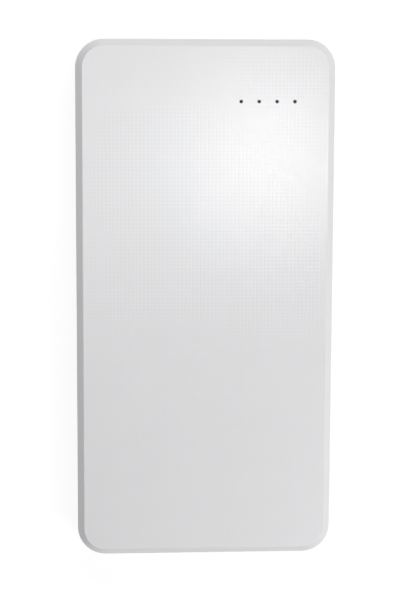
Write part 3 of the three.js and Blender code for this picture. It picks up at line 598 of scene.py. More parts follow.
METAL = {
    "screw_steel": ((0.26, 0.27, 0.28), (0.36, 0.37, 0.39), 0.12, (0.26, 0.40), 0.006),
    "socket_steel": ((0.52, 0.53, 0.54), (0.62, 0.63, 0.64), 0.10, (0.20, 0.32), 0.003, (1, 0.08, 1)),
    "can_aluminium": ((0.56, 0.57, 0.59), (0.66, 0.67, 0.69), 0.14, (0.22, 0.34), 0.003, (1, 1, 0.05)),
    "tab_nickel": ((0.50, 0.48, 0.44), (0.60, 0.58, 0.54), 0.12, (0.24, 0.38), 0.004, (1, 0.1, 1)),
    "contact_gold": ((0.74, 0.48, 0.13), (0.84, 0.58, 0.20), 0.08, (0.18, 0.28), 0.002),
}
SMOKE = ((0.022, 0.022, 0.024), (0.030, 0.030, 0.033), 0.8, (0.30, 0.38))
FINISHES = {
    "smoke_clear": finish("smoke_clear", *SMOKE, IOR=1.49),
    "foam_black": foam_material(),
    "board_green": board_material(),
    "pouch_foil": foil_material(),
    **{slot: finish(slot, *look) for slot, look in PLAIN.items()},
    **{slot: finish(slot, *look, Metallic=1.0) for slot, look in METAL.items()},
}


def fit(obj, slot, *nodes, body="case"):
    """Shades a piece and dresses it in its slot's finish."""
    return dress(shade(obj), FINISHES[slot], slot, body, *nodes)


# ---------- Case ----------


def face_region(z_low, z_high, low_y, high_y):
    """The part of a face that carries the grid, between two heights along Y."""
    inset = RIM_CHAMFER + GRID_BORDER
    region = case_solid("region", [(inset, z_low), (inset, z_high)])
    limits = block("limits", (-HALF_WIDTH, low_y, z_low - 1), (HALF_WIDTH, high_y, z_high + 1))
    return keep_inside(region, limits)


def grooves(name, centres, reach, runs_along_y, surface_z, outward):
    """Parallel V grooves as one mesh of separate prisms, a little proud of the surface."""
    proud = GROOVE_DEPTH / 3
    half = GROOVE_HALF_WIDTH * (1 + proud / GROOVE_DEPTH)
    top_z = surface_z + outward * proud
    section = ((-half, top_z), (0, surface_z - outward * GROOVE_DEPTH), (half, top_z))
    vertices, faces = [], []
    for centre in centres:
        base = len(vertices)
        for end in reach:
            for across, z in section:
                vertices.append((centre + across, end, z) if runs_along_y else (end, centre + across, z))
        faces += [
            (base, base + 1, base + 2),
            (base + 5, base + 4, base + 3),
            (base, base + 3, base + 4, base + 1),
            (base + 1, base + 4, base + 5, base + 2),
            (base + 2, base + 5, base + 3, base),
        ]
    return piece(name, vertices, faces)


def grid_cutter(surface_z, outward, low_y, high_y, from_y, step):
    """The grid of grooves between two heights along Y; its rows start at from_y and go by step."""
    columns = int((HALF_WIDTH - RIM_CHAMFER) / GRID_PITCH)
    column_x = [(i + 0.5) * GRID_PITCH for i in range(-columns, columns)]
    rows = int((high_y - low_y) / GRID_PITCH) + 1
    row_y = sorted(from_y + i * step for i in range(rows))
    cutter = grooves("columns", column_x, (-HALF_LENGTH, HALF_LENGTH), True, surface_z, outward)
    join(cutter, grooves("rows", row_y, (-HALF_WIDTH, HALF_WIDTH), False, surface_z, outward))
    return keep_inside(cutter, face_region(surface_z - 1, surface_z + 1, low_y, high_y))


def wall_cutter(along, outline, wall_at, flare):
    """A cutter through a side wall, from an outline that grows by a small flare at the outer surface."""
    return along("opening", [
        (outline(0), wall_at - SIDE_WALL - CUT_PAST),
        (outline(0), wall_at - flare),
        (outline(flare), wall_at),
        (outline(flare), wall_at + CUT_PAST),
    ])


def wall_cutters():
    """Cutters for the four socket openings and the button's."""
    cutters = []
    for node, radius in OPENING_RADII.items():
        middle, width, height, _ = socket_size(node)

        def port_outline(extra):
            grown = PORT_CLEARANCE + extra
            return rounded_ring(width / 2 + grown, height / 2 + grown, radius + extra, 8, middle.x, middle.z)

        cutters.append(wall_cutter(along_y, port_outline, HALF_LENGTH, PORT_FLARE))

    def outline(extra):
        return button_outline(BUTTON_CLEARANCE + extra)

    return cutters + [wall_cutter(along_x, outline, HALF_WIDTH, BUTTON_FLARE)]


def button_outline(extra, steps=10):
    """The button's long round-ended outline in Y and Z, grown by extra."""
    half_z = BUTTON_HEIGHT / 2 + extra
    return rounded_ring(BUTTON_LENGTH / 2 + extra, half_z, half_z - 0.001, steps, BUTTON_Y, BUTTON_Z)


def inner_features(node):
    """A CAD cover's ribs, bosses and snaps: what it has inside the cavity's walls."""
    overlap = 0.05
    inset = SIDE_WALL - overlap
    profile = [
        (inset + CAVITY_CHAMFER, FLOOR_Z - overlap),
        (inset, FLOOR_Z - overlap + CAVITY_CHAMFER),
        (inset, CEILING_Z + overlap - CAVITY_CHAMFER),
        (inset + CAVITY_CHAMFER, CEILING_Z + overlap),
    ]
    return keep_inside(copy_of(node), case_solid("plug", profile))


def face_profile(side):
    """The rim's profile from the face to the side wall; side is 1 for the front and 0 for the back."""
    corners = [
        (RIM_CHAMFER + 1.2, 0, 0),
        (RIM_CHAMFER, 0, RIM_INNER_FILLET),
        (0, RIM_CHAMFER, RIM_OUTER_FILLET),
        (0, RIM_CHAMFER + 2.0, 0),
    ]
    path = rounded_path(corners, 8)
    return [(p.x, THICKNESS - p.y if side else p.y) for p in path]


def front_cover():
    edge_z = SEAM_Z + SEAM_REVEAL / 2
    lip_out = SIDE_WALL - LIP_THICKNESS
    inner = [
        (SEAM_BEVEL, edge_z),
        (lip_out, edge_z),
        (lip_out, SEAM_Z - LIP_HEIGHT + LIP_CHAMFER),
        (lip_out + LIP_CHAMFER, SEAM_Z - LIP_HEIGHT),
        (SIDE_WALL, SEAM_Z - LIP_HEIGHT),
        (SIDE_WALL, CEILING_Z - CAVITY_CHAMFER),
        (SIDE_WALL + CAVITY_CHAMFER, CEILING_Z),
    ]
    profile = face_profile(1) + [(0, edge_z + SEAM_BEVEL)] + inner
    cover = case_solid("front_cover_shell", profile)
    join(cover, inner_features("front_cover"))
    first_below = BAND_LOW_Y - GROOVE_HALF_WIDTH
    first_above = BAND_HIGH_Y + GROOVE_HALF_WIDTH
    cut(
        cover,
        grid_cutter(THICKNESS, 1, -HALF_LENGTH, BAND_LOW_Y, first_below, -GRID_PITCH),
        grid_cutter(THICKNESS, 1, BAND_HIGH_Y, HALF_LENGTH, first_above, GRID_PITCH),
    )
    window = [
        (WINDOW_RADIUS, CEILING_Z - 1),
        (WINDOW_RADIUS, THICKNESS - 0.03),
        (WINDOW_RADIUS + WINDOW_FLARE, THICKNESS),
        (WINDOW_RADIUS + WINDOW_FLARE, THICKNESS + CUT_PAST),
    ]
    for x in LIGHT_X:
        cut(cover, post("window", window, x, LIGHT_Y))
    return cut(cover, *wall_cutters())


def back_cover():
    edge_z = SEAM_Z - SEAM_REVEAL / 2
    rebate = SIDE_WALL - LIP_THICKNESS - LIP_CLEARANCE
    inner = [
        (SEAM_BEVEL, edge_z),
        (rebate, edge_z),
        (rebate, SEAM_Z - LIP_HEIGHT - LIP_CLEARANCE),
        (SIDE_WALL, SEAM_Z - LIP_HEIGHT - LIP_CLEARANCE),
        (SIDE_WALL, FLOOR_Z + CAVITY_CHAMFER),
        (SIDE_WALL + CAVITY_CHAMFER, FLOOR_Z),
    ]
    profile = face_profile(0) + [(0, edge_z - SEAM_BEVEL)] + inner
    cover = case_solid("back_cover_shell", profile)
    join(cover, inner_features("back_cover"))
    pitch_rows = (HALF_LENGTH // GRID_PITCH) * GRID_PITCH
    cutter = grid_cutter(0, -1, -HALF_LENGTH, HALF_LENGTH, pitch_rows, -GRID_PITCH)
    panel = block("panel", (-PANEL_HALF_WIDTH, PANEL_LOW_Y, -1), (PANEL_HALF_WIDTH, PANEL_HIGH_Y, 1))
    cut(cover, cut(cutter, panel))
    return cut(cover, *wall_cutters())


WHITE = case_plastic()
dress(flatten_faces(shade(front_cover())), WHITE, "case_white", "case", "front_cover")
dress(flatten_faces(shade(back_cover())), WHITE, "case_white", "case", "back_cover")

# ---------- Button and switch ----------


def power_button():
    """A crowned cap on a flange, with a nub behind it that meets the switch."""
    crown_x, middle = BUTTON_HIGH.x, (BUTTON_Y, BUTTON_Z)
    edge, dome = 0.28, 0.08
    profile = [(0, FLANGE_X - 0.1), (0, crown_x - edge)]
    for sine, cosine in quarter_turn(6):
        profile.append((edge * (1 - cosine), crown_x - dome - (edge - dome) * (1 - sine)))
    profile += [(0.75, crown_x - 0.02), (1.2, crown_x)]
    cap = along_x("power_button_cap", [(button_outline(-inset, 12), x) for inset, x in profile])
    flange_profile = [(0.1, FLANGE_X - 0.7), (0, FLANGE_X - 0.6), (0, FLANGE_X - 0.1), (0.1, FLANGE_X)]
    flange = along_x("flange", shrunk(flange_profile, 6, 2.5, 0.6, 6, middle))
    nub_profile = [(0.15, BUTTON_LOW.x), (0, BUTTON_LOW.x + 0.15), (0, FLANGE_X - 0.6)]
    nub = along_x("nub", shrunk(nub_profile, 1.5, 1, 0.3, 6, middle, fixed=True))
    return join(cap, flange, nub)


def switch_plunger():
    """The switch's moving head, with a rounded outer edge."""
    low, high = box_mm("switch_plunger")
    half = (high - low) / 2
    _, *middle = middle_of("switch_plunger")
    profile = [(0, low.x), (0, high.x - 0.2), (0.06, high.x - 0.06), (0.2, high.x)]
    return along_x("switch_plunger_head", shrunk(profile, half.y, half.z, 0.3, 6, middle, fixed=True))


def tact_switch():
    """The switch's moulded body, its pressed plate, held by four staked pegs, and its two feet."""
    low, high = box_mm("tact_switch")
    plunger_low, plunger_high = box_mm("switch_plunger")
    plate_x, gap = high.x - 0.22, 0.2
    half_length, half_height, middle_z = 3.0, (high.z - low.z) / 2, (low.z + high.z) / 2
    outline = rounded_ring(half_length, half_height, 0.25, 5, BUTTON_Y, middle_z)
    base = along_x("tact_switch_body", [(outline, low.x), (outline, plate_x)])
    slot = block(
        "slot", (high.x - 1.5, plunger_low.y - gap, plunger_low.z - gap),
        (high.x + 1, plunger_high.y + gap, plunger_high.z + gap),
    )
    window = copy_shape(slot)
    cut(base, slot)
    inner = rounded_ring(half_length - 0.1, half_height - 0.1, 0.3, 5, BUTTON_Y, middle_z)
    plate = cut(along_x("tact_switch_plate", [(inner, plate_x), (inner, high.x - 0.08)]), window)
    for y in (BUTTON_Y - 2.35, BUTTON_Y + 2.35):
        for z in (middle_z - 1.0, middle_z + 1.0):
            ring = circle(0.28, y, z, 14)
            join(base, along_x("peg", [(ring, plate_x - 0.2), (ring, high.x)]))
            hole = [(y + (ring_y - y) * 1.1, ring_z) for ring_y, ring_z in ring]
            cut(plate, along_x("peg_hole", [(hole, plate_x - CUT_PAST), (hole, high.x + CUT_PAST)]))
    feet = [
        soft_box("foot", (high.x - 2.2, y, low.z), (high.x - 0.8, y + reach, low.z + 0.35), 0.1, 0.05)
        for y, reach in ((BUTTON_Y + 2.6, 1.0), (BUTTON_Y - 2.6, -1.0))
    ]
    return base, plate, feet


def copy_shape(obj):
    """A copy of a piece that is still being made."""
    return link(bpy.data.objects.new(obj.name + "_copy", obj.data.copy()))


fit(power_button(), "button_white", "power_button", body="button")
fit(switch_plunger(), "plunger_ivory", "switch_plunger", body="plunger")
switch_body, switch_plate, switch_feet = tact_switch()
fit(switch_body, "switch_black", "tact_switch")
fit(switch_plate, "socket_steel")
fit(gather("tact_switch_feet", switch_feet), "tab_nickel")

# ---------- Indicator lights ----------


def light_guide():
    """One clear moulding: a lens in each window, a bar under the face, and a tapered pipe to each light."""
    bar = soft_box(
        "light_guide_moulding", (GUIDE_LOW.x, GUIDE_LOW.y, GUIDE_BAR_LOW_Z),
        (GUIDE_HIGH.x, GUIDE_HIGH.y, GUIDE_BAR_HIGH_Z), 0.85, 0.1, 0.1, 8,
    )
    top_z = GUIDE_HIGH.z
    lens = [(0.42, GUIDE_BAR_HIGH_Z - 0.1), (0.42, top_z - 0.1)]
    lens += [(0.38, top_z - 0.04), (0.27, top_z - 0.01), (0.12, top_z)]
    pipe = [(0.7, GUIDE_LOW.z), (0.8, GUIDE_LOW.z + 0.1), (0.85, GUIDE_BAR_LOW_Z + 0.1)]
    for x in LIGHT_X:
        join(bar, post("lens", lens, x, LIGHT_Y, 24), post("pipe", pipe, x, LIGHT_Y, 24))
    return bar


def light_blocker():
    low, high = box_mm("light_blocker")
    foam = soft_box("light_blocker_foam", low, high, 0.5, 0.15, 0.15)
    for x in LIGHT_X:
        cut(foam, post("pipe_hole", [(1.0, low.z - 1), (1.0, high.z + 1)], x, LIGHT_Y, 24))
    return foam


fit(light_guide(), "smoke_clear", "light_guide")
fit(light_blocker(), "foam_black", "light_blocker")

for number in range(1, LIGHT_COUNT + 1):
    node = f"charge_led_{number}"
    low, high = box_mm(node)
    lens_low = (low.x + LED_END, low.y + 0.1, low.z + 0.2)
    lens_high = (high.x - LED_END, high.y - 0.1, high.z)
    base_low, base_high = (low.x + 0.1, low.y, low.z + 0.03), (high.x - 0.1, high.y, low.z + 0.25)
    resin = soft_box(node + "_resin", lens_low, lens_high, 0.15, 0.12)
    fit(join(resin, soft_box("base", base_low, base_high, 0.06, 0.03)), "led_cream", node)
    ends = [
        soft_box("end", (x, low.y, low.z), (x + LED_END, high.y, low.z + 0.3), 0.06, 0.03)
        for x in (low.x, high.x - LED_END)
    ]
    fit(gather(node + "_ends", ends), "tab_nickel")

# ---------- Sockets ----------


def sleeve(name, node, radius, wall):
    """A pressed sleeve: closed at the back, with a rolled lip at its mouth and a folded seam below."""
    middle, width, height, depth = socket_size(node)
    mouth_y, back_y, low_z = middle.y, middle.y - depth, middle.z - height / 2

    def drawn(name, profile):
        return along_y(name, shrunk(profile, width / 2, height / 2, radius, 8, (middle.x, middle.z)))

    outer = drawn(name, [
        (0.18, back_y),
        (0.05, back_y + 0.06),
        (0, back_y + 0.2),
        (0, mouth_y - 0.12),
        (0.04, mouth_y - 0.03),
        (0.12, mouth_y),
    ])
    hollow = drawn("hollow", [
        (wall + 0.1, back_y + wall),
        (wall, back_y + wall + 0.1),
        (wall, mouth_y - 0.3),
        (wall - 0.05, mouth_y - 0.1),
        (wall - 0.14, mouth_y + 0.01),
        (wall - 0.14, mouth_y + 1),
    ])
    seam_low = (middle.x - 0.03, back_y + 0.5, low_z - 1)
    seam_high = (middle.x + 0.03, mouth_y + 1, low_z + 0.12)
    seam = block("seam", seam_low, seam_high)
    return cut(outer, hollow, seam)


def usb_a_shell(node):
    """A USB-A sleeve: two sprung fingers above and below, and a mounting wing on each side."""
    middle, width, height, _ = socket_size(node)
    low, high = box_mm(node)
    shell = sleeve(node + "_sleeve", node, 0.6, 0.3)
    for side, wing_x in ((-1, low.x), (1, high.x)):
        wall_z = middle.z + side * (height / 2 - 0.15)
        path = rounded_path([
            (middle.y - 7.8, wall_z, 0),
            (middle.y - 7.2, wall_z, 1.2),
            (middle.y - 3.9, wall_z - side * 0.5, 0.8),
            (middle.y - 3.0, wall_z - side * 0.2, 0),
        ], 5)
        for x in (middle.x - 3.2, middle.x + 3.2):
            window_low = (x - 0.8, middle.y - 7.5, wall_z - 0.5)
            window_high = (x + 0.8, middle.y - 2.5, wall_z + 0.5)
            cut(shell, soft_box("window", window_low, window_high, 0.35, 0))
            join(shell, bent_strip("finger", path, 0.2, x - 0.5, x + 0.5))
        join(shell, soft_box(
            "wing", (middle.x + side * (width / 2 - 0.15), middle.y - 11.5, USB_A_WING_Z),
            (wing_x, middle.y - 4.0, USB_A_WING_Z + 0.3), 0.4, 0.06,
        ))
    return shell


def usb_a_tongue(node, shell_node):
    """The white insulator: a rear block, and a tongue with four channels for the contacts."""
    low, high = box_mm(node)
    middle, _, _, _ = socket_size(shell_node)
    rear = soft_box(node + "_insulator", low, (high.x, middle.y - 9.2, high.z), 0.2, 0.12, 0.12)
    profile = [(0, middle.y - 9.6), (0, middle.y - 1.2), (0.12, middle.y - 0.88), (0.3, middle.y - 0.8)]
    nose_middle = (middle.x, middle.z + 0.94)
    join(rear, along_y("nose", shrunk(profile, 5.55, 0.92, 0.15, 4, nose_middle, fixed=True)))
    for x in USB_A_CONTACTS:
        cut(rear, block(
            "channel", (middle.x + x - 0.6, middle.y - 9.1, middle.z - 0.5),
            (middle.x + x + 0.6, middle.y - 1.25, middle.z + 0.3),
        ))
    return rear


def usb_a_contacts(node):
    """Four sprung contacts under the tongue."""
    middle, _, _, _ = socket_size(node)
    y, z = middle.y, middle.z
    bends = [(y - 9.25, z + 0.1, 0), (y - 7.0, z + 0.1, 1.0), (y - 3.0, z - 0.3, 0.5), (y - 1.5, z + 0.16, 0)]
    path = rounded_path(bends, 5)
    positions = [middle.x + x for x in USB_A_CONTACTS]
    return [bent_strip("contact", path, 0.15, x - 0.45, x + 0.45) for x in positions]


def flat_tongue(name, node, rear_y, half_width, half_height, tongue_z):
    """An insulator whose thin tongue has a rounded nose."""
    low, high = box_mm(node)
    rear = soft_box(name, low, (high.x, rear_y, high.z), 0.2, 0.12, 0.12)
    profile = [(0, rear_y - 0.3), (0, high.y - 0.25), (0.05, high.y - 0.08), (0.15, high.y)]
    middle = ((low.x + high.x) / 2, tongue_z)
    tongue = along_y("tongue", shrunk(profile, half_width, half_height, 0.12, 4, middle, fixed=True))
    return join(rear, tongue)


def flat_contacts(middle_x, pitch, count, width, low_y, high_y, levels):
    """Rows of flat contacts on a thin tongue, one row at each z."""
    half = width / 2
    return [
        soft_box("contact", (x - half, low_y, z - 0.03), (x + half, high_y, z + 0.03), 0.05, 0.01, 0, 2)
        for x in spread(middle_x, pitch, count) for z in levels
    ]


for side in ("left", "right"):
    shell_node, tongue_node = f"usb_a_{side}_shell", f"usb_a_{side}_tongue"
    fit(usb_a_shell(shell_node), "socket_steel", shell_node)
    fit(usb_a_tongue(tongue_node, shell_node), "tongue_white", tongue_node)
    fit(gather(f"usb_a_{side}_contacts", usb_a_contacts(shell_node)), "contact_gold")

usb_c_x, usb_c_y, usb_c_z = socket_size("usb_c_shell")[0]
fit(sleeve("usb_c_sleeve", "usb_c_shell", 1.579, 0.3), "socket_steel", "usb_c_shell")
usb_c_tongue = flat_tongue("usb_c_insulator", "usb_c_tongue", usb_c_y - 5.2, 3.345, 0.35, usb_c_z)
fit(usb_c_tongue, "tongue_black", "usb_c_tongue")
usb_c_rows = (usb_c_z - 0.35, usb_c_z + 0.35)
usb_c_pads = flat_contacts(usb_c_x, 0.5, 12, 0.25, usb_c_y - 5.0, usb_c_y - 1.2, usb_c_rows)
fit(gather("usb_c_contacts", usb_c_pads), "contact_gold")

micro_x, micro_y, micro_z = socket_size("micro_usb_shell")[0]
fit(sleeve("micro_usb_sleeve", "micro_usb_shell", 0.6, 0.3), "socket_steel", "micro_usb_shell")
micro_tongue = flat_tongue("micro_usb_insulator", "micro_usb_tongue", micro_y - 3.8, 1.9, 0.3, micro_z + 0.4)
fit(micro_tongue, "tongue_black", "micro_usb_tongue")
micro_pads = flat_contacts(micro_x, 0.65, 5, 0.35, micro_y - 3.7, micro_y - 0.8, (micro_z + 0.1,))
fit(gather("micro_usb_contacts", micro_pads), "contact_gold")

# ---------- Circuit board ----------

def main_board():
    """The board, with round upper corners, notches round the large sockets and four screw holes."""
    half, middle = (BOARD_HIGH - BOARD_LOW) / 2, middle_of("main_board")
    low_z, high_z, bevel = BOARD_LOW.z, BOARD_HIGH.z, BOARD_BEVEL
    rings = []
    for inset, z in ((bevel, low_z), (0, low_z + bevel), (0, high_z - bevel), (bevel, high_z)):
        radii = (6 - inset, 6 - inset, 0.5, 0.5)
        rings.append((rounded_ring(half.x - inset, half.y - inset, radii, 12, 0, middle.y), z))
    board = along_z("main_board_laminate", rings)
    for node in USB_A_SHELLS:
        middle, width, _, depth = socket_size(node)
        cut(board, soft_box(
            "notch", (middle.x - width / 2 - 0.1, middle.y - depth - 0.15, 0),
            (middle.x + width / 2 + 0.1, BOARD_HIGH.y + 3, THICKNESS), 0.5, 0,
        ))
    for node in SCREWS:
        cut(board, screw_hole(node, 1.1))
    return board


def screw_hole(node, radius):
    x, y, _ = middle_of(node)
    return post("hole", [(radius, 0), (radius, THICKNESS)], x, y, 28)


def pad(low_x, low_y, high_x, high_y):
    """A tinned pad on the board's upper face."""
    return soft_box("pad", (low_x, low_y, PAD_Z), (high_x, high_y, PAD_Z + PAD_HEIGHT), 0.12, 0.015, 0, 3)


def end_pads(node, margin=0.35, share=0.3):
    """A pad under each end of a two-ended part that lies along X."""
    low, high = box_mm(node)
    reach = (high.x - low.x) * share
    return [
        pad(low.x - margin, low.y - 0.1, low.x + reach, high.y + 0.1),
        pad(high.x - reach, low.y - 0.1, high.x + margin, high.y + 0.1),
    ]


def row_pads(node, positions, half_width, beyond, under):
    """Pads along a part's two long sides, each reaching beyond its edge and under it."""
    low, high = box_mm(node)
    pads = []
    for x in positions:
        pads.append(pad(x - half_width, low.y - beyond, x + half_width, low.y + under))
        pads.append(pad(x - half_width, high.y - under, x + half_width, high.y + beyond))
    return pads


def board_pads():
    """Every tinned pad: rings round the screws, the cells' pads, and one under each lead or end."""
    pads = []
    for node in SCREWS:
        x, y, _ = middle_of(node)
        ring = post("ring", [(2.2, PAD_Z), (2.2, PAD_Z + PAD_HEIGHT)], x, y, 40)
        pads.append(cut(ring, screw_hole(node, 1.15)))
    for x in (-12, 12):
        pads.append(pad(x - 3.6, 45.9, x + 3.6, 49.4))
    for node, (_, _, leads, pitch) in LEADED.items():
        pads += row_pads(node, spread(middle_of(node).x, pitch, leads), pitch * 0.25, 0.3, 0.7)
    for node in ("sense_resistor", "power_inductor", *(f"ceramic_capacitor_{i}" for i in range(1, 5))):
        pads += end_pads(node)
    for node in ("output_capacitor", "input_capacitor"):
        pads += row_pads(node, [middle_of(node).x], 0.6, 0.8, 1.5)
    return gather("board_pads", pads)


def board_screw(node):
    """A pan-head screw with a cross recess and a rolled thread."""
    low, high = box_mm(node)
    x, y, _ = middle_of(node)
    head_z = PAD_Z + 0.02
    rings = [(0.3, low.z), (0.55, low.z + 0.3)]
    z = low.z + 0.5
    while z < head_z - 0.5:
        rings += [(0.75, z), (0.75, z + 0.08), (0.58, z + 0.2), (0.58, z + 0.32)]
        z += 0.4
    rings += [(0.62, head_z - 0.05), (0.62, head_z)]
    rings += [(1.5, head_z), (1.6, head_z + 0.1), (1.6, head_z + 0.5)]
    for sine, cosine in quarter_turn(4):
        rings.append((1.0 + 0.6 * cosine, head_z + 0.5 + (high.z - head_z - 0.5) * sine))
    screw = post(node + "_steel", rings, x, y, 32)
    for half_x, half_y in ((0.85, 0.2), (0.2, 0.85)):
        recess = []
        for z, scale in ((high.z - 0.6, 0.45), (high.z + 0.2, 1.0)):
            corners = ((half_x, half_y), (-half_x, half_y), (-half_x, -half_y), (half_x, -half_y))
            recess.append(([(x + across * scale, y + along * scale) for across, along in corners], z))
        cut(screw, along_z("recess", recess))
    return screw


def moulded_body(name, low, high):
    """A chip's body: a parting line at mid height, draft above and below, and a pin-one dimple."""
    middle = (low[0] + high[0]) / 2, (low[1] + high[1]) / 2
    half_x, half_y = (high[0] - low[0]) / 2, (high[1] - low[1]) / 2
    middle_z, draft = (low[2] + high[2]) / 2, 0.08
    profile = [(draft, low[2]), (0, middle_z - 0.05), (0, middle_z + 0.05), (draft, high[2])]
    body = along_z(name, shrunk(profile, half_x, half_y, 0.1, 3, middle, fixed=True))
    dimple = [(0.22, high[2] - 0.06), (0.3, high[2] + 0.1)]
    return cut(body, post("dimple", dimple, low[0] + 0.65, low[1] + 0.55, 20))


def leaded_chip(node):
    """A moulded chip and its gull-wing leads."""
    width, length, leads, pitch = LEADED[node]
    low, high = box_mm(node)
    x, y, _ = middle_of(node)
    half, foot_z, low_z = length / 2, low.z + 0.08, low.z + 0.1
    body = moulded_body(node + "_body", (x - width / 2, y - half, low_z), (x + width / 2, y + half, high.z))
    span, lead_z = (high.y - low.y) / 2, (low_z + high.z) / 2
    reach = span - half
    bent = []
    for side in (-1, 1):
        path = rounded_path([
            (y + side * (half - 0.15), lead_z, 0),
            (y + side * (half + reach * 0.35), lead_z, 0.12),
            (y + side * (half + reach * 0.5), foot_z, 0.12),
            (y + side * span, foot_z, 0),
        ], 4)
        for lead_x in spread(x, pitch, leads):
            bent.append(bent_strip("lead", path, 0.15, lead_x - pitch * 0.16, lead_x + pitch * 0.16))
    return body, gather(node + "_leads", bent)


def power_chip():
    """A leadless chip, and the lands that show along its two sides."""
    low, high = box_mm("power_chip")
    middle = middle_of("power_chip")
    body = moulded_body("power_chip_body", (low.x, low.y, low.z + 0.05), high)
    lands = [
        soft_box(
            "land", (x - 0.15, middle.y + side * 2.1, low.z), (x + 0.15, middle.y + side * 2.5, low.z + 0.2),
            0.05, 0.02, 0, 2,
        )
        for x in spread(middle.x, 0.65, 6) for side in (-1, 1)
    ]
    return body, gather("power_chip_lands", lands)


def end_capped(name, low, high, ends):
    """A two-ended part's body between two corners; its tinned ends go on the list."""
    cap = (high[0] - low[0]) * 0.18
    for x in (low[0], high[0] - cap):
        ends.append(soft_box("end", (x, low[1], low[2]), (x + cap, high[1], high[2]), 0.1, 0.08, 0.05, 3))
    inner_low = (low[0] + cap * 0.6, low[1] + 0.05, low[2] + 0.04)
    inner_high = (high[0] - cap * 0.6, high[1] - 0.05, high[2] - 0.05)
    return soft_box(name, inner_low, inner_high, 0.08, 0.06, 0.04, 3)


def power_inductor():
    """A pressed ferrite block with clipped corners and worn edges."""
    low, high = box_mm("power_inductor")
    x, y, _ = middle_of("power_inductor")
    half_x, half_y, clip = (high.x - low.x) / 2, (high.y - low.y) / 2, 1.1
    corners = [
        (half_x, half_y - clip), (half_x - clip, half_y), (clip - half_x, half_y), (-half_x, half_y - clip),
        (-half_x, clip - half_y), (clip - half_x, -half_y), (half_x - clip, -half_y), (half_x, clip - half_y),
    ]
    levels = (
        (0.985, low.z + 0.1), (1, low.z + 0.2), (1, high.z - 0.25), (0.985, high.z - 0.08), (0.95, high.z))
    return along_z("power_inductor_ferrite", [
        ([(x + across * scale, y + along * scale) for across, along in corners], z) for scale, z in levels
    ])


def inductor_terminals():
    low, high = box_mm("power_inductor")
    y, length, half = middle_of("power_inductor").y, 1.3, 1.4
    return [
        soft_box("terminal", (x, y - half, low.z), (x + length, y + half, low.z + 0.16), 0.1, 0.03)
        for x in (low.x, high.x - length)
    ]


def can_capacitor(node):
    """A drawn can with a rolled groove, the base that it stands on, and its two leads."""
    low, high = box_mm(node)
    x, y, _ = middle_of(node)
    z, top_z = low.z, high.z
    rings = [
        (3.05, z + 0.75), (3.15, z + 0.85), (3.15, z + 1.25), (3.08, z + 1.42), (2.88, z + 1.58),
        (2.85, z + 1.7), (2.88, z + 1.82), (3.08, z + 1.98), (3.15, z + 2.15), (3.15, top_z - 0.35),
    ]
    rings += [(2.85 + 0.3 * cosine, top_z - 0.3 + 0.3 * sine) for sine, cosine in quarter_turn(5)]
    rings += [(2.55, top_z), (2.45, top_z - 0.06)]
    can = post(node + "_can", rings, x, y, 40)
    profile, radii = [(0, z + 0.04), (0, z + 0.65), (0.08, z + 0.74)], (0.3, 0.3, 1.2, 1.2)
    base = along_z(node + "_base", shrunk(profile, 3.3, 3.3, radii, 4, (x, y), fixed=True))
    leads = [
        soft_box("lead", (x - 0.4, y + side * 1.0, z), (x + 0.4, y + side * 3.3, z + 0.1), 0.08, 0.02)
        for side in (-1, 1)
    ]
    return can, base, leads


fit(main_board(), "board_green", "main_board")
fit(board_pads(), "tab_nickel")
for node in SCREWS:
    fit(board_screw(node), "screw_steel", node)
for node in LEADED:
    chip_body, chip_leads = leaded_chip(node)
    fit(chip_body, "chip_black", node)
    fit(chip_leads, "tab_nickel")
chip_body, chip_lands = power_chip()
fit(chip_body, "chip_black", "power_chip")
fit(chip_lands, "tab_nickel")

tinned_ends = []
for number in range(1, 5):
    node = f"ceramic_capacitor_{number}"
    fit(end_capped(node + "_ceramic", *box_mm(node), tinned_ends), "ceramic_tan", node)
resistor = end_capped("sense_resistor_glaze", *box_mm("sense_resistor"), tinned_ends)
fit(resistor, "resistor_black", "sense_resistor")

# The smallest parts: chip resistors and chip capacitors by turns, all 1.6 by 0.8 mm
SMALL_PARTS = [
    *((-6.6 + i * 2.2, 47.2) for i in range(7)),
    *((7.4, 49.6 + i * 1.5) for i in range(4)),
    *((-6.9, 50.2 + i * 1.5) for i in range(4)),
    *((-11.6 + i * 2.3, 65.2) for i in range(5)),
    (31.2, 58.2), (-31.6, 64.2), (-31.6, 65.8),
]
resistors, ceramics = [], []
for number, (x, y) in enumerate(SMALL_PARTS):
    tall = number % 2
    low_z = PAD_Z + 0.04
    low, high = (x - 0.8, y - 0.4, low_z), (x + 0.8, y + 0.4, low_z + (0.75 if tall else 0.45))
    (ceramics if tall else resistors).append(end_capped("small_part", low, high, tinned_ends))
fit(gather("small_resistors", resistors), "resistor_black")
fit(gather("small_ceramics", ceramics), "ceramic_tan")

fit(power_inductor(), "ferrite_grey", "power_inductor")
tinned_ends += inductor_terminals()
for node in ("output_capacitor", "input_capacitor"):
    can, base, leads = can_capacitor(node)
    fit(can, "can_aluminium", node)
    fit(base, "switch_black")
    tinned_ends += leads
fit(gather("tinned_ends", tinned_ends), "tab_nickel")

# ---------- Cells ----------

TERRACE_LENGTH = 4.0
POUCH_SOFT = 2.4
FOLD_WIDTH = 0.8
CELL_LEVELS = ("lower", "upper")
SHEET_THICKNESS = 0.2


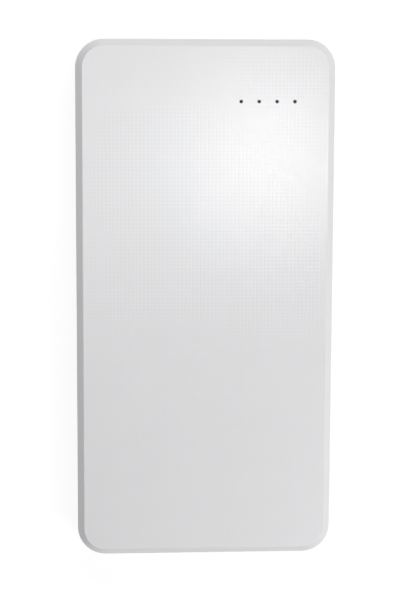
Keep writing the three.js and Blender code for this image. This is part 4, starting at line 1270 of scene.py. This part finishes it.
def pouch_cell(node):
    """A pouch cell: flat faces with soft edges and slight corner creases, side folds and a sealed terrace."""
    low, high = box_mm(node)
    body_high_y = high.y - TERRACE_LENGTH
    middle_z, half_thickness = (low.z + high.z) / 2, (high.z - low.z) / 2
    half_x, half_y = (high.x - low.x) / 2 - 0.15, (body_high_y - low.y) / 2
    middle_y = (body_high_y + low.y) / 2
    columns, rows = edge_spread(half_x, POUCH_SOFT), edge_spread(half_y, POUCH_SOFT)

    def shoulder(inside):
        return math.sqrt(max(0, 1 - (1 - min(inside / POUCH_SOFT, 1)) ** 2))

    def height(x, y):
        in_x, in_y = half_x - abs(x), half_y - abs(y)
        corner = math.hypot(in_x, in_y)
        ripple = 0.5 + 0.5 * math.sin(4.1 * corner + 2.3 * abs(x) - 1.9 * abs(y))
        crease = 0.12 * math.exp(-corner / 3.5) * ripple
        return half_thickness * shoulder(in_x) * shoulder(in_y) * (1 - crease)

    vertices, index = [], {}
    for side in (1, -1):
        for i, x in enumerate(columns):
            for j, y in enumerate(rows):
                on_edge = i in (0, len(columns) - 1) or j in (0, len(rows) - 1)
                if on_edge and side < 0:
                    index[side, i, j] = index[1, i, j]
                    continue
                index[side, i, j] = len(vertices)
                vertices.append((x, middle_y + y, middle_z + side * height(x, y)))
    faces = []
    for side in (1, -1):
        for i in range(len(columns) - 1):
            for j in range(len(rows) - 1):
                face = [index[side, a, b] for a, b in ((i, j), (i + 1, j), (i + 1, j + 1), (i, j + 1))]
                faces.append(tuple(face if side > 0 else face[::-1]))
    pouch = piece(node + "_pouch", vertices, faces)

    outline, teeth = [], 52
    crimp_low, crimp_high = body_high_y - 1.2, high.y
    for side in (1, -1):
        edge = [
            (crimp_low + (crimp_high - crimp_low) * i / teeth, middle_z + side * (0.25 + 0.05 * (-1) ** i))
            for i in range(teeth + 1)
        ]
        outline += edge[::side]
    join(pouch, along_x("terrace", [(outline, -half_x + 0.9), (outline, half_x - 0.9)]))
    for outer_x, inner_x in ((low.x, low.x + FOLD_WIDTH), (high.x, high.x - FOLD_WIDTH)):
        fold_low = (outer_x, low.y + 0.8, middle_z - 1.9)
        fold_high = (inner_x, body_high_y - 0.8, middle_z + 1.4)
        join(pouch, soft_box("fold", fold_low, fold_high, 0.3, 0.25, 0.25))
    return pouch


def edge_spread(half, soft, fine=8, coarse=12):
    """Positions across a width, close together near both edges."""
    near = [soft * (1 - math.cos(math.pi / 2 * i / fine)) for i in range(fine + 1)]
    inner = half - soft
    across = [-inner + 2 * inner * i / coarse for i in range(1, coarse)]
    return [-half + n for n in near] + across + [half - n for n in reversed(near)]


for level in CELL_LEVELS:
    fit(pouch_cell(f"{level}_cell"), "pouch_foil", f"{level}_cell")
    low, high = box_mm(f"{level}_terrace_tape")
    fit(soft_box(f"{level}_terrace_film", low, high, 0.4, 0.04, 0.04), "tape_amber", f"{level}_terrace_tape")

for node, name, slot, edge in (
    ("base_tape", "base_adhesive", "tape_white", 0.06),
    ("cell_tape", "cell_adhesive", "tape_white", 0.06),
    ("foam_pad", "foam_cushion", "foam_black", 0.25),
):
    low, high = box_mm(node)
    sheet = fit(soft_box(name, low, high, 2.0, edge, edge, 6), slot, node)

LOWER, UPPER = middle_of("lower_cell"), middle_of("upper_cell")
CELL_END_Y = box_mm("lower_cell")[1].y
BOARD_EDGE_Y = BOARD_LOW.y
TAB_PATHS = {
    "lower": [
        (CELL_END_Y + 0.05, LOWER.z, 0),
        (CELL_END_Y + 1.2, LOWER.z + 0.5, 0.5),
        (BOARD_EDGE_Y - 0.3, PAD_Z + 0.15, 0.5),
        (BOARD_EDGE_Y + 3.5, PAD_Z + 0.15, 0),
    ],
    "upper": [
        (CELL_END_Y + 0.05, UPPER.z, 0),
        (box_mm("upper_cell")[1].y + 1.4, UPPER.z - 0.3, 0.5),
        (BOARD_EDGE_Y + 0.2, PAD_Z + 0.40, 0.5),
        (BOARD_EDGE_Y + 3.2, PAD_Z + 0.40, 0),
    ],
}
WELD_Z = PAD_Z + 0.5
WELD = [(0.1, WELD_Z - 0.07), (0.24, WELD_Z - 0.04), (0.34, WELD_Z + 0.1)]


def cell_tab(node, level):
    """A nickel strip from a cell to the board; the upper ones show their four weld dents."""
    low, high = box_mm(node)
    strip = bent_strip(node + "_strip", rounded_path(TAB_PATHS[level]), SHEET_THICKNESS, low.x, high.x)
    if level == "upper":
        for y in (1.3, 2.4):
            for x in (-1.5, 1.5):
                cut(strip, post("weld", WELD, middle_of(node).x + x, BOARD_EDGE_Y + y, 16))
    return strip


for level in CELL_LEVELS:
    for pole in ("positive", "negative"):
        node = f"{level}_{pole}_tab"
        fit(cell_tab(node, level), "tab_nickel", node)


def insulation_paper():
    """A sheet under the board, turned up at its far edge."""
    low, high = box_mm("insulation_sheet")
    sheet_z = high.z - SHEET_THICKNESS / 2
    path = [(low.y, sheet_z, 0), (high.y - 0.5, sheet_z, 0.4), (high.y - 0.1, low.z + 0.1, 0)]
    return bent_strip("insulation_paper", rounded_path(path), SHEET_THICKNESS, low.x, high.x)


fit(insulation_paper(), "paper_tan", "insulation_sheet")


def thermistor():
    """An epoxy bead on two enamelled leads."""
    low, high = box_mm("thermistor")
    bead_y, bead_z = CELL_END_Y - 1.9, low.z + 0.6
    half_length, half_width, half_height = 1.5, 1.1, 0.55
    rings, steps = [], 14
    for step in range(1, steps):
        angle = math.pi * step / steps
        swell = math.sin(angle) ** 0.9
        ring = [(half_width * swell * a, bead_z + half_height * swell * b) for a, b in circle(1, 0, 0, 24)]
        rings.append((ring, bead_y - half_length * math.cos(angle)))
    bead = along_y("thermistor_bead", rings)
    path = rounded_path([
        (bead_y, bead_z, 0),
        (CELL_END_Y + 0.6, bead_z + 0.3, 1.2),
        (BOARD_EDGE_Y - 0.5, PAD_Z + 0.85, 1.2),
        (high.y - 0.1, PAD_Z + 0.36, 0),
    ])
    for x in (-0.5, 0.5):
        join(bead, tube("lead", [(x, p.x, p.y) for p in path], 0.24, 12))
    return bead


fit(thermistor(), "thermistor_dark", "thermistor")

# ---------- Stage ----------

# The floor glows, which keeps the shadow on it as pale as the photo's
FLOOR_HALF = 3000
FLOOR_GLOW = 0.88


def floor_material():
    shader = Shader("floor_paper", Emission_Color=(1, 1, 1, 1), Emission_Strength=FLOOR_GLOW)
    tone = shader.noise(60.0, detail=2.0)
    return shader.paint(shader.blend(tone, (0.13, 0.13, 0.13, 1), (0.15, 0.15, 0.15, 1)), 0.9)


def build_stage():
    corners = [(x * FLOOR_HALF, y * FLOOR_HALF, 0) for x, y in ((-1, -1), (1, -1), (1, 1), (-1, 1))]
    floor = piece("floor", corners, [(0, 1, 2, 3)])
    floor.data.materials.append(floor_material())


def add_softbox(name, place, aim, size, power):
    """A square area light at a place in millimetres, turned to its aim."""
    data = bpy.data.lights.new(name, "AREA")
    data.size = size * MM
    data.energy = power
    lamp = link(bpy.data.objects.new(name, data))
    lamp.location = Vector(place) * MM
    lamp.rotation_mode = "QUATERNION"
    lamp.rotation_quaternion = (Vector(aim) - Vector(place)).to_track_quat("-Z", "Y")
    return lamp


CAMERA_PLACE = Vector((-31.49, 71.65, 510.31))
CAMERA_AIM = Vector((0.04, 0.60, THICKNESS))
CAMERA_ROLL = math.radians(0.23)
CAMERA_LENS = 105.0


def build_camera():
    data = bpy.data.cameras.new("camera")
    data.lens = CAMERA_LENS
    data.sensor_width = 36.0
    data.clip_start = 0.01
    data.clip_end = 20.0
    camera = link(bpy.data.objects.new("camera", data))
    back = (CAMERA_PLACE - CAMERA_AIM).normalized()
    right = Vector((0, 1, 0)).cross(back).normalized()
    up = back.cross(right)
    turn = Matrix((right, up, back)).transposed()
    camera.rotation_mode = "QUATERNION"
    camera.rotation_quaternion = (turn @ Matrix.Rotation(CAMERA_ROLL, 3, "Z")).to_quaternion()
    camera.location = CAMERA_PLACE * MM
    bpy.context.scene.camera = camera


# The surroundings are bright at the horizon and dim overhead: two heights and the strength at each
WORLD_FADE = (0.0, 0.5, 0.52, 0.17)
# They are darker on the left: two places along X and the share of the strength at each
WORLD_SIDE = (-0.9, 0.1, 0.1, 1.0)

# Each softbox: name, place, aim, size and power
FACE_MIDDLE = (0, 0, THICKNESS)
SOFTBOXES = (
    ("far_softbox", (0, 280, 300), FACE_MIDDLE, 160, 0.79),
    ("near_softbox", (0, -280, 300), FACE_MIDDLE, 160, 0.11),
    ("right_softbox", (200, -200, 350), FACE_MIDDLE, 160, 0.92),
    ("fill_softbox", (-40, 0, 612), (-28, 31, THICKNESS), 160, 0.15),
    ("key_softbox", (76, 4, 612), (17, 41, THICKNESS), 80, 0.26),
)


def build_lights():
    world = bpy.data.worlds.new("studio")
    world.use_nodes = True
    background = world.node_tree.nodes["Background"]
    background.inputs["Color"].default_value = (1, 1, 1, 1)
    nodes, links = world.node_tree.nodes, world.node_tree.links
    height = nodes.new("ShaderNodeSeparateXYZ")
    links.new(nodes.new("ShaderNodeTexCoord").outputs["Generated"], height.inputs["Vector"])
    strength = nodes.new("ShaderNodeMath")
    strength.operation = "MULTIPLY"
    for slot, (axis, span) in enumerate((("Z", WORLD_FADE), ("X", WORLD_SIDE))):
        fade = nodes.new("ShaderNodeMapRange")
        for name, value in zip(RAMP_INPUTS, span):
            fade.inputs[name].default_value = value
        links.new(height.outputs[axis], fade.inputs["Value"])
        links.new(fade.outputs["Result"], strength.inputs[slot])
    links.new(strength.outputs["Value"], background.inputs["Strength"])
    bpy.context.scene.world = world
    bpy.context.scene.view_settings.view_transform = "Standard"
    for lamp in SOFTBOXES:
        add_softbox(*lamp)


build_stage()
build_camera()
build_lights()
